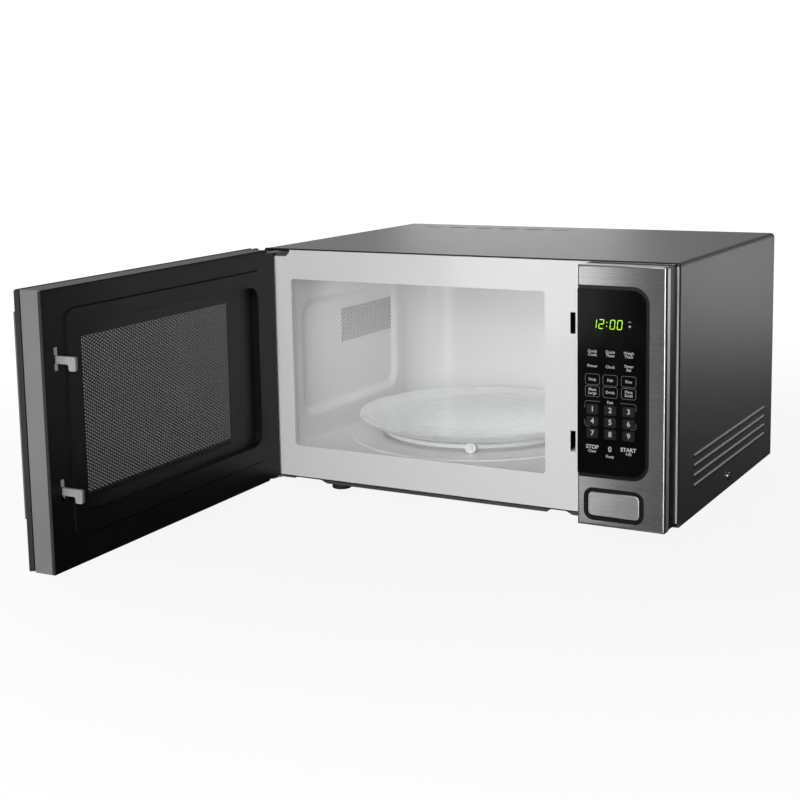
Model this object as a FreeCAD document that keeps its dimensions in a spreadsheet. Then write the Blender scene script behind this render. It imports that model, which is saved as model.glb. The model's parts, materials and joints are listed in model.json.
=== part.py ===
"""A countertop microwave oven, built from its separate pieces and standing with its side-hinged door open.

+X is to the oven's right as one faces it, +Y to its back and +Z up. The origin is the centre of the cabinet's
footprint on the surface that it stands on. All sizes are millimetres.
"""

import FreeCAD
import Part

import math
import os
import re

from FreeCAD import Placement, Rotation, Vector

# Every driving size, by the alias of its cell. Names in _x, _y and _z are places, the others are lengths.
SIZES = {
    # cabinet
    "left_x": -242.5,
    "right_x": 242.5,
    "front_y": -172.5,
    "rear_y": 172.5,
    "wrap_low_z": 10.0,
    "wrap_top_z": 274.5,
    "wrap_gauge": 1.0,
    "fold_radius": 5.0,
    "seam": 0.5,
    "sheet": 1.0,
    "base_z": 14.0,
    "edge_gap": 1.5,
    # rear plate: cord inlet and air slots
    "inlet_x": 120.0,
    "inlet_z": 40.0,
    "inlet_radius": 9.0,
    "cord_radius": 3.8,
    "gland_flange": 12.0,
    "slot_gauge": 4.0,
    "slot_pitch": 10.0,
    "fan_slot_length": 24.0,
    "fan_slot_pitch": 30.0,
    "air_slot_length": 20.0,
    "air_slot_pitch": 28.0,
    # pressed pans under the base, and the feet on them
    "pan_low_z": 6.0,
    "pan_slope": 7.0,
    "pan_front_y": -168.0,
    "pan_rear_y": 160.0,
    "pan_left_x": -182.0,
    "pan_left_end_x": 103.0,
    "pan_right_x": 118.0,
    "pan_right_end_x": 232.0,
    "foot_radius": 11.0,
    "foot_left_x": -163.0,
    "foot_right_x": 196.0,
    "foot_front_y": -148.0,
    "foot_back_y": 140.0,
    # side ribs and top vents of the wrap
    "rib_proud": 1.0,
    "rib_radius": 3.5,
    "rib_pitch": 10.5,
    "rib_low_z": 41.0,
    "rib_front_y": -124.0,
    "rib_rear_y": 138.0,
    "vent_length": 26.0,
    "vent_width": 7.0,
    "vent_pitch": 35.2,
    "vent_first_x": -187.0,
    "vent_y": 132.0,
    # cavity and its opening
    "opening_left_x": -208.5,
    "opening_right_x": 99.5,
    "opening_low_z": 50.0,
    "opening_top_z": 240.5,
    "opening_radius": 3.5,
    "lip_depth": 4.0,
    "notch_width": 33.0,
    "notch_height": 9.0,
    "cavity_left_x": -210.0,
    "cavity_right_x": 101.0,
    "cavity_floor_z": 48.5,
    "cavity_top_z": 242.0,
    "cavity_back_y": 145.0,
    "corner_start_y": 90.0,
    "corner_radius": 55.0,
    "recess_depth": 5.0,
    "recess_radius": 24.0,
    "recess_front_y": -138.0,
    "recess_back_y": 78.0,
    "recess_low_z": 76.0,
    "recess_top_z": 214.0,
    # turntable
    "table_x": -54.5,
    "table_y": -15.0,
    "disc_radius": 150.0,
    "disc_height": 1.2,
    "hub_hole_radius": 11.2,
    "hub_radius": 10.3,
    "shaft_radius": 3.5,
    "shaft_fit": 0.05,
    "motor_radius": 25.0,
    "motor_low_z": 29.0,
    "motor_top_z": 46.0,
    "tray_radius": 140.0,
    "tray_low_z": 62.3,
    "tray_base": 4.0,
    "tray_height": 12.2,
    "ring_outer": 112.0,
    "ring_inner": 105.0,
    "ring_height": 4.0,
    "roller_radius": 6.0,
    "roller_width": 7.0,
    "axle_radius": 2.0,
    "axle_z": 56.0,
    # control panel
    "panel_left_x": 149.0,
    "panel_right_x": 240.5,
    "panel_low_z": 12.0,
    "panel_top_z": 274.0,
    "panel_front_y": -206.5,
    "panel_gap": 0.8,
    "fascia_gauge": 1.2,
    "fascia_return": 10.0,
    "fascia_round": 2.4,
    "frame_wall": 2.5,
    "keypad_right_x": 223.5,
    "keypad_low_z": 61.5,
    "keypad_top_z": 254.0,
    "keypad_radius": 18.0,
    "keypad_border": 4.0,
    "keypad_proud": 0.3,
    "display_left_x": 161.0,
    "display_right_x": 201.0,
    "display_low_z": 203.0,
    "display_top_z": 229.0,
    # release button
    "bezel_left_x": 156.0,
    "bezel_right_x": 218.5,
    "bezel_low_z": 18.2,
    "bezel_top_z": 51.4,
    "bezel_width": 4.0,
    "bezel_radius": 9.5,
    "bezel_depth": 12.0,
    "button_gap": 0.5,
    "stem_left_x": 161.0,
    "stem_right_x": 171.0,
    "stem_low_z": 30.0,
    "stem_top_z": 40.0,
    "lever_y": -164.0,
    "lever_z": 73.5,
    "lever_shaft": 3.0,
    "lever_fit": 0.06,
    "lever_left_x": 124.0,
    "lever_right_x": 179.0,
    "finger_width": 10.0,
    "finger_length": 18.0,
    "ear_left_x": 144.0,
    "ear_right_x": 174.0,
    "ear_gauge": 4.0,
    "ear_half": 7.0,
    # door, all in the closed position
    "door_left_x": -241.5,
    "door_right_x": 147.0,
    "door_low_z": 12.0,
    "door_top_z": 274.0,
    "door_face_y": -206.5,
    "skin_back_y": -204.9,
    "backing_back_y": -199.0,
    "shell_back_y": -177.0,
    "cover_back_y": -175.0,
    "emboss_y": -173.4,
    "well_front_y": -182.0,
    "shell_wall": 5.0,
    "hinge_column": 18.5,
    "glass_left_x": -222.0,
    "glass_proud": 1.8,
    "emboss_left_x": -216.0,
    "emboss_right_x": 118.0,
    "emboss_low_z": 38.0,
    "emboss_top_z": 254.0,
    "emboss_radius": 12.0,
    "window_left_x": -204.0,
    "window_right_x": 98.0,
    "window_low_z": 58.0,
    "window_top_z": 236.0,
    "window_radius": 15.0,
    "well_wall": 3.0,
    # door hinge
    "hinge_x": -235.5,
    "hinge_y": -183.0,
    "pin_radius": 2.5,
    "pin_fit": 0.05,
    "tongue_radius": 6.0,
    "tongue_gauge": 2.0,
    "upper_tongue_z": 269.5,
    "lower_tongue_z": 11.5,
    "pin_length": 8.0,
    # door latch, in the closed position
    "hook_left_x": 128.3,
    "hook_right_x": 131.5,
    "slot_left_x": 127.6,
    "slot_right_x": 133.3,
    "hook_tip_y": -153.0,
    "hook_nose": 8.0,
    "hook_height": 7.0,
    "hook_drop": 6.0,
    "hook_round": 2.0,
    "slot_height": 22.0,
    "upper_slot_z": 198.8,
    "lower_slot_z": 76.5,
    "latch_front_y": -190.0,
    "latch_back_y": -184.0,
    # guide for the hooks behind the front plate, and its switches
    "guide_left_x": 121.0,
    "guide_right_x": 141.0,
    "guide_low_z": 62.0,
    "guide_top_z": 232.0,
    "guide_wall": 2.0,
    "switch_width": 10.0,
    "switch_height": 26.0,
    "switch_front_y": -166.0,
    "switch_back_y": -148.0,
    "plunger_radius": 1.2,
    "plunger_in": 8.0,
    # machinery in the right-hand compartment
    "port_front_y": -20.0,
    "port_back_y": 60.0,
    "port_low_z": 160.0,
    "port_top_z": 216.0,
    "magnetron_x": 137.0,
    "magnetron_length": 62.0,
    "yoke_gauge": 2.0,
    "anode_radius": 17.0,
    "antenna_radius": 7.0,
    "fin_pitch": 9.0,
    "fin_gauge": 1.5,
    "core_left_x": 136.0,
    "core_right_x": 206.0,
    "core_front_y": -96.0,
    "core_back_y": -16.0,
    "core_top_z": 87.0,
    "core_leg": 15.0,
    "core_window": 20.0,
    "core_window_low_z": 29.0,
    "core_window_top_z": 73.0,
    "coil_gap": 0.3,
    "coil_overhang": 8.0,
    "can_left_x": 132.0,
    "can_right_x": 166.0,
    "can_front_y": 8.0,
    "can_back_y": 98.0,
    "can_top_z": 68.0,
    "filter_left_x": 120.0,
    "filter_right_x": 225.0,
    "filter_front_y": 70.0,
    "filter_back_y": 145.0,
    "filter_z": 246.0,
    "board_gauge": 1.6,
    "fan_x": 176.0,
    "fan_z": 112.0,
    "fan_radius": 42.0,
    "fan_shaft": 2.5,
    "shroud_half": 56.0,
    "shroud_gauge": 2.0,
    "fan_motor_half": 26.0,
    "fan_motor_half_z": 22.0,
    "fan_post_reach": 51.0,
    "lamp_y": 78.0,
    "lamp_z": 222.0,
    "cutout_x": 20.0,
    "cutout_y": 60.0,
    "screw_y": -3.0,
    "screw_z": 23.5,
    "screw_radius": 4.2,
    "screw_height": 1.6,
}

DOOR_OPEN = 88.0  # degrees from closed in the stored pose
RING_START = -68.0  # degrees from +X to the first roller
ROLLERS = 3
RIBS = 4
TOP_VENTS = 6
FAN_BLADES = 6
MAGNETRON_FINS = 6
STEAM_HOLES = 10
FAN_SLOTS = (3, 7)  # columns and rows
AIR_SLOTS = (6, 4)
SWITCHES = {"primary": 206, "secondary": 176, "monitor": 104}  # lowest point of each

TURNS = {
    "x": Rotation(Vector(0, 1, 0), 90),
    "y": Rotation(Vector(1, 0, 0), -90),
    "z": Rotation(),
}
WORD = re.compile(r"[a-z][a-z_]+")

doc = FreeCAD.newDocument("microwave_oven")
pieces = []


def make_sheet():
    """The spreadsheet of driving sizes, one alias a row."""
    sheet = doc.addObject("Spreadsheet::Sheet", "Sizes")
    for row, (alias, value) in enumerate(SIZES.items(), 1):
        sheet.set(f"A{row}", alias)
        sheet.set(f"B{row}", str(value))
        sheet.setAlias(f"B{row}", alias)
    doc.recompute()


def bind(item, prop, rule):
    """Binds a property to a rule written in the sheet's words."""
    item.setExpression(prop, WORD.sub(lambda m: "Sizes." + m[0] if m[0] in SIZES else m[0], str(rule)))


def block(name, x, y, z):
    """A box; x, y and z are each its low and high limit."""
    item = doc.addObject("Part::Box", name)
    for prop, axis, (low, high) in zip(("Length", "Width", "Height"), "xyz", (x, y, z)):
        bind(item, prop, f"({high}) - ({low})")
        bind(item, f"Placement.Base.{axis}", low)
    return item


def place_round(item, axis, centre, along):
    """Sets a round solid on its axis; centre holds the two other coordinates, in X, Y, Z order."""
    item.Placement = Placement(Vector(), TURNS[axis])
    low, high = along
    rest = iter(centre)
    for letter in "xyz":
        bind(item, f"Placement.Base.{letter}", low if letter == axis else next(rest))
    bind(item, "Height", f"({high}) - ({low})")
    return item


def rod(name, axis, centre, along, radius):
    """A cylinder along an axis."""
    item = doc.addObject("Part::Cylinder", name)
    bind(item, "Radius", radius)
    return place_round(item, axis, centre, along)


def cone(name, axis, centre, along, low_radius, high_radius):
    """A truncated cone along an axis."""
    item = doc.addObject("Part::Cone", name)
    bind(item, "Radius1", low_radius)
    bind(item, "Radius2", high_radius)
    return place_round(item, axis, centre, along)


def ball(name, x, y, z, radius):
    """A sphere."""
    item = doc.addObject("Part::Sphere", name)
    bind(item, "Radius", radius)
    for letter, rule in zip("xyz", (x, y, z)):
        bind(item, f"Placement.Base.{letter}", rule)
    return item


def fuse(name, *items):
    """One solid of several that touch or overlap."""
    item = doc.addObject("Part::MultiFuse", name)
    item.Shapes = list(items)
    item.Refine = True
    return item


def cut(name, base, *tools):
    """The base less all the tools."""
    item = doc.addObject("Part::Cut", name)
    item.Base = base
    item.Tool = tools[0] if len(tools) == 1 else fuse(name + "_tools", *tools)
    return item


def common(name, first, second):
    """What two solids share."""
    item = doc.addObject("Part::Common", name)
    item.Base = first
    item.Tool = second
    return item


def on_side(edge, **limits):
    """True for an edge that lies wholly at each given coordinate, such as x=10."""
    return all(
        abs(getattr(vertex.Point, axis) - value) < 0.01
        for axis, value in limits.items()
        for vertex in edge.Vertexes
    )


def runs_along(edge, axis):
    """True for a straight edge parallel to an axis."""
    if len(edge.Vertexes) != 2:
        return False
    span = edge.Vertexes[1].Point - edge.Vertexes[0].Point
    return abs(getattr(span, axis)) > 0.999 * span.Length


def dress(kind, name, base, size, pick):
    """Fillets or chamfers the edges that pick accepts."""
    doc.recompute()
    item = doc.addObject(kind, name)
    item.Base = base
    item.Edges = [(n, size, size) for n, edge in enumerate(base.Shape.Edges, 1) if pick(edge)]
    return item


def fillet(name, base, radius, pick):
    return dress("Part::Fillet", name, base, SIZES.get(radius, radius), pick)


def chamfer(name, base, size, pick):
    return dress("Part::Chamfer", name, base, SIZES.get(size, size), pick)


def plate(name, x, y, z, radius, axis):
    """A box whose four edges along one axis are rounded."""
    return fillet(name, block(name + "_box", x, y, z), radius, lambda edge: runs_along(edge, axis))


def keep(item, node):
    """Marks a finished sub-part, which becomes one node."""
    item.Label = node
    pieces.append(item)
    return item


def keep_on_door(item, node):
    """Marks a sub-part of the door, swung about the hinge from closed to the stored pose."""
    hinge = Vector(SIZES["hinge_x"], SIZES["hinge_y"], 0)
    swing = Placement(Vector(), Rotation(Vector(0, 0, 1), -DOOR_OPEN), hinge)
    item.Placement = swing.multiply(item.Placement)
    return keep(item, node)


# ---------------------------------------------------------------- cabinet


def outer_wrap():
    """Folded sheet over the top and both sides, with ribs low on the sides and vents in the top."""
    across = ("left_x", "right_x")
    depth = ("front_y + seam", "rear_y")
    top = SIZES["wrap_top_z"]
    under = top - SIZES["wrap_gauge"]
    outer = fillet(
        "wrap_outer",
        block("wrap_outer_box", across, depth, ("wrap_low_z", "wrap_top_z")),
        "fold_radius",
        lambda edge: runs_along(edge, "y") and on_side(edge, z=top),
    )
    ribs = []
    for side, sign in (("left", "-"), ("right", "+")):
        centre_x = f"{side}_x {sign} (rib_proud - rib_radius)"
        for n in range(RIBS):
            height = f"rib_low_z + {n} * rib_pitch"
            name = f"wrap_rib_{side}_{n}"
            ribs.append(rod(name, "y", (centre_x, height), ("rib_front_y", "rib_rear_y"), "rib_radius"))
            ribs.append(ball(name + "_front", centre_x, "rib_front_y", height, "rib_radius"))
            ribs.append(ball(name + "_rear", centre_x, "rib_rear_y", height, "rib_radius"))
    inner = fillet(
        "wrap_inner",
        block(
            "wrap_inner_box",
            ("left_x + wrap_gauge", "right_x - wrap_gauge"),
            ("front_y - 1", "rear_y + 1"),
            ("wrap_low_z + wrap_gauge", "wrap_top_z - wrap_gauge"),
        ),
        SIZES["fold_radius"] - SIZES["wrap_gauge"],
        lambda edge: runs_along(edge, "y") and on_side(edge, z=under),
    )
    throat = block(
        "wrap_throat",
        ("left_x + 12", "right_x - 12"),
        ("front_y - 1", "rear_y + 1"),
        ("wrap_low_z - 1", "wrap_low_z + wrap_gauge + 1"),
    )
    vents = []
    for n in range(TOP_VENTS):
        x = f"vent_first_x + {n} * vent_pitch"
        half = "(vent_length - vent_width) / 2"
        z = ("wrap_top_z - 3", "wrap_top_z + 3")
        name = f"wrap_vent_{n}"
        side = ("vent_y - vent_width / 2", "vent_y + vent_width / 2")
        vents.append(block(name, (f"{x} - {half}", f"{x} + {half}"), side, z))
        vents.append(rod(name + "_a", "z", (f"{x} - {half}", "vent_y"), z, "vent_width / 2"))
        vents.append(rod(name + "_b", "z", (f"{x} + {half}", "vent_y"), z, "vent_width / 2"))
    solid = fuse("wrap_ribbed", outer, *ribs)
    return keep(cut("wrap", solid, inner, throat, *vents), "outer_wrap")


def pan(name, x):
    """A pressed pan that hangs below the base: its outside and its hollow."""
    y = ("pan_front_y", "pan_rear_y")
    low = SIZES["pan_low_z"]
    outer_box = block(name + "_outer_box", x, y, ("pan_low_z", "base_z + sheet / 2"))
    outer = chamfer(name + "_outer", outer_box, "pan_slope", lambda edge: on_side(edge, z=low))
    inner_box = block(
        name + "_inner_box",
        (f"{x[0]} + sheet", f"{x[1]} - sheet"),
        (f"{y[0]} + sheet", f"{y[1]} - sheet"),
        ("pan_low_z + sheet", "base_z + 3 * sheet"),
    )
    inner = chamfer(
        name + "_inner", inner_box, "pan_slope", lambda edge: on_side(edge, z=low + SIZES["sheet"])
    )
    return outer, inner


def base_plate():
    """Galvanised floor of the cabinet with two pans pressed down from it."""
    sheet = block(
        "base_sheet",
        ("left_x + edge_gap", "right_x - edge_gap"),
        ("front_y + sheet + 0.2", "rear_y - 2 * sheet - 0.2"),
        ("base_z", "base_z + sheet"),
    )
    left_outer, left_inner = pan("pan_left", ("pan_left_x", "pan_left_end_x"))
    right_outer, right_inner = pan("pan_right", ("pan_right_x", "pan_right_end_x"))
    solid = fuse("base_solid", sheet, left_outer, right_outer)
    return keep(cut("base", solid, left_inner, right_inner), "base_plate")


def feet():
    """Four rubber feet, one under each corner of the pans."""
    for side in ("left", "right"):
        for end in ("front", "back"):
            centre = (f"foot_{side}_x", f"foot_{end}_y")
            name = f"foot_{end}_{side}"
            solid = rod(name + "_disc", "z", centre, ("0", "pan_low_z"), "foot_radius")
            soft = fillet(name + "_soft", solid, 1.2, lambda edge: on_side(edge, z=0) and edge.Length > 1)
            keep(soft, name)


def rear_plate():
    """Back sheet with the cord inlet and slots for the cooling air."""
    sheet = plate(
        "rear_sheet",
        ("left_x + edge_gap", "right_x - edge_gap"),
        ("rear_y - 2 * sheet", "rear_y - sheet"),
        ("wrap_low_z + edge_gap", "wrap_top_z - edge_gap"),
        4.0,
        "y",
    )
    through = ("rear_y - 4", "rear_y + 1")
    tools = [rod("inlet_hole", "y", ("inlet_x", "inlet_z"), through, "inlet_radius")]
    groups = (
        ("fan", FAN_SLOTS, "fan_x - 45", "fan_z - 33"),
        ("air", AIR_SLOTS, "cavity_left_x + 15", "wrap_top_z - 60"),
    )
    for group, (columns, rows), first_x, first_z in groups:
        for column in range(columns):
            for row in range(rows):
                x = f"{first_x} + {column} * {group}_slot_pitch"
                z = f"{first_z} + {row} * slot_pitch"
                name = f"rear_{group}_slot_{row}_{column}"
                slot_x = (x, f"{x} + {group}_slot_length")
                tools.append(block(name, slot_x, through, (z, f"{z} + slot_gauge")))
    return keep(cut("rear", sheet, *tools), "rear_plate")


def cord_grommet():
    """Moulded gland in the rear plate where a supply cord enters."""
    centre = ("inlet_x", "inlet_z")
    body = rod("grommet_body", "y", centre, ("rear_y - 7", "rear_y - 0.9"), "inlet_radius - 0.1")
    flange = rod("grommet_flange", "y", centre, ("rear_y - sheet", "rear_y + 3"), "gland_flange")
    bore = rod("grommet_bore", "y", centre, ("rear_y - 8", "rear_y + 4"), "cord_radius")
    return keep(cut("grommet", fuse("grommet_solid", body, flange), bore), "cord_grommet")


def front_plate():
    """Enamelled front of the cabinet: the cavity opening with its lip, two latch slots and a hinge notch."""
    top = SIZES["wrap_top_z"] - SIZES["edge_gap"]
    sheet = fillet(
        "front_sheet",
        block(
            "front_sheet_box",
            ("left_x + edge_gap", "right_x - edge_gap"),
            ("front_y", "front_y + sheet"),
            ("base_z", "wrap_top_z - edge_gap"),
        ),
        "fold_radius",
        lambda edge: runs_along(edge, "y") and on_side(edge, z=top),
    )
    lip = plate(
        "front_lip",
        ("opening_left_x - sheet", "opening_right_x + sheet"),
        ("front_y", "front_y + lip_depth"),
        ("opening_low_z - sheet", "opening_top_z + sheet"),
        SIZES["opening_radius"] + SIZES["sheet"],
        "y",
    )
    through = ("front_y - 1", "front_y + lip_depth + 1")
    opening = plate(
        "front_opening",
        ("opening_left_x", "opening_right_x"),
        through,
        ("opening_low_z", "opening_top_z"),
        "opening_radius",
        "y",
    )
    slots = []
    for level in ("upper", "lower"):
        z = (f"{level}_slot_z", f"{level}_slot_z + slot_height")
        slots.append(block(f"front_{level}_slot", ("slot_left_x", "slot_right_x"), through, z))
    notch_x = SIZES["left_x"] + SIZES["notch_width"]
    notch_z = SIZES["wrap_top_z"] - SIZES["notch_height"]
    notch = chamfer(
        "front_notch",
        block(
            "front_notch_box",
            ("left_x - 1", "left_x + notch_width"),
            through,
            ("wrap_top_z - notch_height", "wrap_top_z + 5"),
        ),
        5.0,
        lambda edge: runs_along(edge, "y") and on_side(edge, x=notch_x, z=notch_z),
    )
    button_way = block(
        "front_button_way",
        ("stem_left_x - 2", "stem_right_x + 2"),
        through,
        ("stem_low_z - 2", "stem_top_z + 2"),
    )
    solid = fuse("front_solid", sheet, lip)
    return keep(cut("front", solid, opening, notch, button_way, *slots), "front_plate")


# ---------------------------------------------------------------- cavity


def cavity_left_wall():
    """Enamelled side wall with a large shallow recess pressed outwards."""
    wall = block(
        "left_wall",
        ("cavity_left_x - sheet", "cavity_left_x"),
        ("front_y + sheet", "corner_start_y"),
        ("cavity_floor_z - sheet", "cavity_top_z + sheet"),
    )

    def pressing(name, low, high, grow):
        box = plate(
            name + "_plate",
            (low, high),
            (f"recess_front_y - {grow}", f"recess_back_y + {grow}"),
            (f"recess_low_z - {grow}", f"recess_top_z + {grow}"),
            "recess_radius",
            "x",
        )
        doc.recompute()
        far = box.Shape.BoundBox.XMin
        return chamfer(name, box, 4.0, lambda edge: on_side(edge, x=far))

    deepest = "cavity_left_x - recess_depth"
    outer = pressing("left_recess_outer", f"{deepest} - sheet", "cavity_left_x - sheet / 2", 1)
    inner = pressing("left_recess_inner", deepest, "cavity_left_x + 2", 0)
    return keep(cut("left_wall_cut", fuse("left_wall_solid", wall, outer), inner), "cavity_left_wall")


def cavity_right_wall():
    """Enamelled side wall with the port that the waveguide feeds."""
    wall = block(
        "right_wall",
        ("cavity_right_x", "cavity_right_x + sheet"),
        ("front_y + sheet", "corner_start_y"),
        ("cavity_floor_z - sheet", "cavity_top_z + sheet"),
    )
    port = block(
        "right_port",
        ("cavity_right_x - 1", "cavity_right_x + 2 * sheet"),
        ("port_front_y", "port_back_y"),
        ("port_low_z", "port_top_z"),
    )
    return keep(cut("right_wall_cut", wall, port), "cavity_right_wall")


def cavity_back_wall():
    """Enamelled back with two wide rounded corners."""

    def bend(name, grow, start):
        box = block(
            name + "_box",
            (f"cavity_left_x - {grow}", f"cavity_right_x + {grow}"),
            (start, f"cavity_back_y + {grow}"),
            ("cavity_floor_z", "cavity_top_z"),
        )
        back = SIZES["cavity_back_y"] + grow
        radius = SIZES["corner_radius"] + grow
        return fillet(name, box, radius, lambda edge: runs_along(edge, "z") and on_side(edge, y=back))

    outer = bend("back_outer", 1, "corner_start_y - 20")
    inner = bend("back_inner", 0, "corner_start_y - 25")
    front = block(
        "back_front",
        ("cavity_left_x - 5", "cavity_right_x + 5"),
        ("corner_start_y - 30", "corner_start_y"),
        ("cavity_floor_z - 1", "cavity_top_z + 1"),
    )
    return keep(cut("back_wall", outer, inner, front), "cavity_back_wall")


def cavity_ceiling():
    """Enamelled top of the cavity, with a row of small steam holes."""
    top = block(
        "ceiling_sheet",
        ("cavity_left_x", "cavity_right_x"),
        ("front_y + sheet", "cavity_back_y + sheet"),
        ("cavity_top_z", "cavity_top_z + sheet"),
    )
    through = ("cavity_top_z - 1", "cavity_top_z + 2 * sheet")
    holes = [
        rod(f"steam_hole_{n}", "z", ("cavity_left_x + 14", f"-60 + {n} * 13"), through, 1.5)
        for n in range(STEAM_HOLES)
    ]
    return keep(cut("ceiling", top, *holes), "cavity_ceiling")


def cavity_floor():
    """Enamelled floor with a raised round track for the roller ring."""
    sheet = block(
        "floor_sheet",
        ("cavity_left_x", "cavity_right_x"),
        ("front_y + sheet", "cavity_back_y + sheet"),
        ("cavity_floor_z - sheet", "cavity_floor_z"),
    )
    centre = ("table_x", "table_y")
    disc = cone(
        "floor_disc",
        "z",
        centre,
        ("cavity_floor_z - sheet / 2", "cavity_floor_z + disc_height"),
        "disc_radius",
        "disc_radius - 2",
    )
    hole = rod("floor_hole", "z", centre, ("cavity_floor_z - 3", "cavity_floor_z + 5"), "hub_hole_radius")
    return keep(cut("floor", fuse("floor_solid", sheet, disc), hole), "cavity_floor")


# ---------------------------------------------------------------- turntable


def turntable():
    """Drive motor and coupler, the glass tray and the roller ring with its three rollers."""
    centre = ("table_x", "table_y")
    can = rod("table_motor_can", "z", centre, ("motor_low_z", "motor_top_z"), "motor_radius")
    socket = ("motor_top_z - 6", "motor_top_z + 1")
    bore = rod("table_motor_bore", "z", centre, socket, "shaft_radius + shaft_fit")
    keep(cut("table_motor", can, bore), "turntable_motor")

    shaft = rod("coupler_shaft", "z", centre, ("motor_top_z - 5.5", "cavity_floor_z + 2"), "shaft_radius")
    hub = rod("coupler_hub", "z", centre, ("cavity_floor_z + 2", "tray_low_z - 0.6"), "hub_radius")
    notches = []
    for n in range(3):
        angle = math.radians(120 * n + 60)
        x = f"table_x + {math.cos(angle):.4f} * (hub_radius + 1.5)"
        y = f"table_y + {math.sin(angle):.4f} * (hub_radius + 1.5)"
        notches.append(rod(f"coupler_notch_{n}", "z", (x, y), ("cavity_floor_z + 6", "tray_low_z"), 4.5))
    keep(cut("coupler", fuse("coupler_solid", shaft, hub), *notches), "turntable_coupler")

    rim = "tray_low_z + tray_height"
    wall = ("tray_low_z", f"{rim} - 2")
    bowl = cone("tray_bowl", "z", centre, wall, "tray_radius - 14", "tray_radius - 1.5")
    lip = rod("tray_lip", "z", centre, (f"{rim} - 3", rim), "tray_radius")
    inside = ("tray_low_z + tray_base", f"{rim} + 0.01")
    hollow = cone("tray_hollow", "z", centre, inside, "tray_radius - 17", "tray_radius - 5")
    top = SIZES["tray_low_z"] + SIZES["tray_height"]
    glass = cut("tray_glass", fuse("tray_solid", bowl, lip), hollow)
    keep(fillet("tray", glass, 0.9, lambda edge: on_side(edge, z=top) and edge.Length > 1), "glass_tray")

    low = "axle_z - ring_height / 2"
    high = "axle_z + ring_height / 2"
    hoop = rod("ring_hoop", "z", centre, (low, high), "ring_outer")
    eye = rod("ring_eye", "z", centre, ("axle_z - 5", "axle_z + 5"), "ring_inner")
    axles = [
        put_radially(spoke(f"ring_axle_{n}", "axle_radius", "roller_width + 3.2"), n, SIZES["ring_outer"] - 1)
        for n in range(ROLLERS)
    ]
    keep(fuse("ring", cut("ring_band", hoop, eye), *axles), "roller_ring")

    for n in range(ROLLERS):
        wheel = spoke(f"wheel_{n}", "roller_radius", "roller_width")
        hole = spoke(f"wheel_hole_{n}", "axle_radius + shaft_fit", "roller_width")
        drilled = cut(f"wheel_cut_{n}", wheel, hole)
        keep(put_radially(drilled, n, SIZES["ring_outer"] + 0.4), f"roller_{n + 1}")


def spoke(name, radius, length):
    """A cylinder along +X from the origin, to be put in place by put_radially."""
    item = doc.addObject("Part::Cylinder", name)
    bind(item, "Radius", radius)
    bind(item, "Height", length)
    item.Placement.Rotation = TURNS["x"]
    return item


def put_radially(item, n, radius):
    """Moves a piece made along +X from the origin out to the roller ring's n-th radius."""
    turn = Rotation(Vector(0, 0, 1), RING_START + 360 / ROLLERS * n)
    centre = Vector(SIZES["table_x"], SIZES["table_y"], SIZES["axle_z"])
    place = centre + turn.multVec(Vector(radius, 0, 0))
    item.Placement = Placement(place, turn.multiply(item.Placement.Rotation))
    return item


# ---------------------------------------------------------------- control panel


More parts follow.
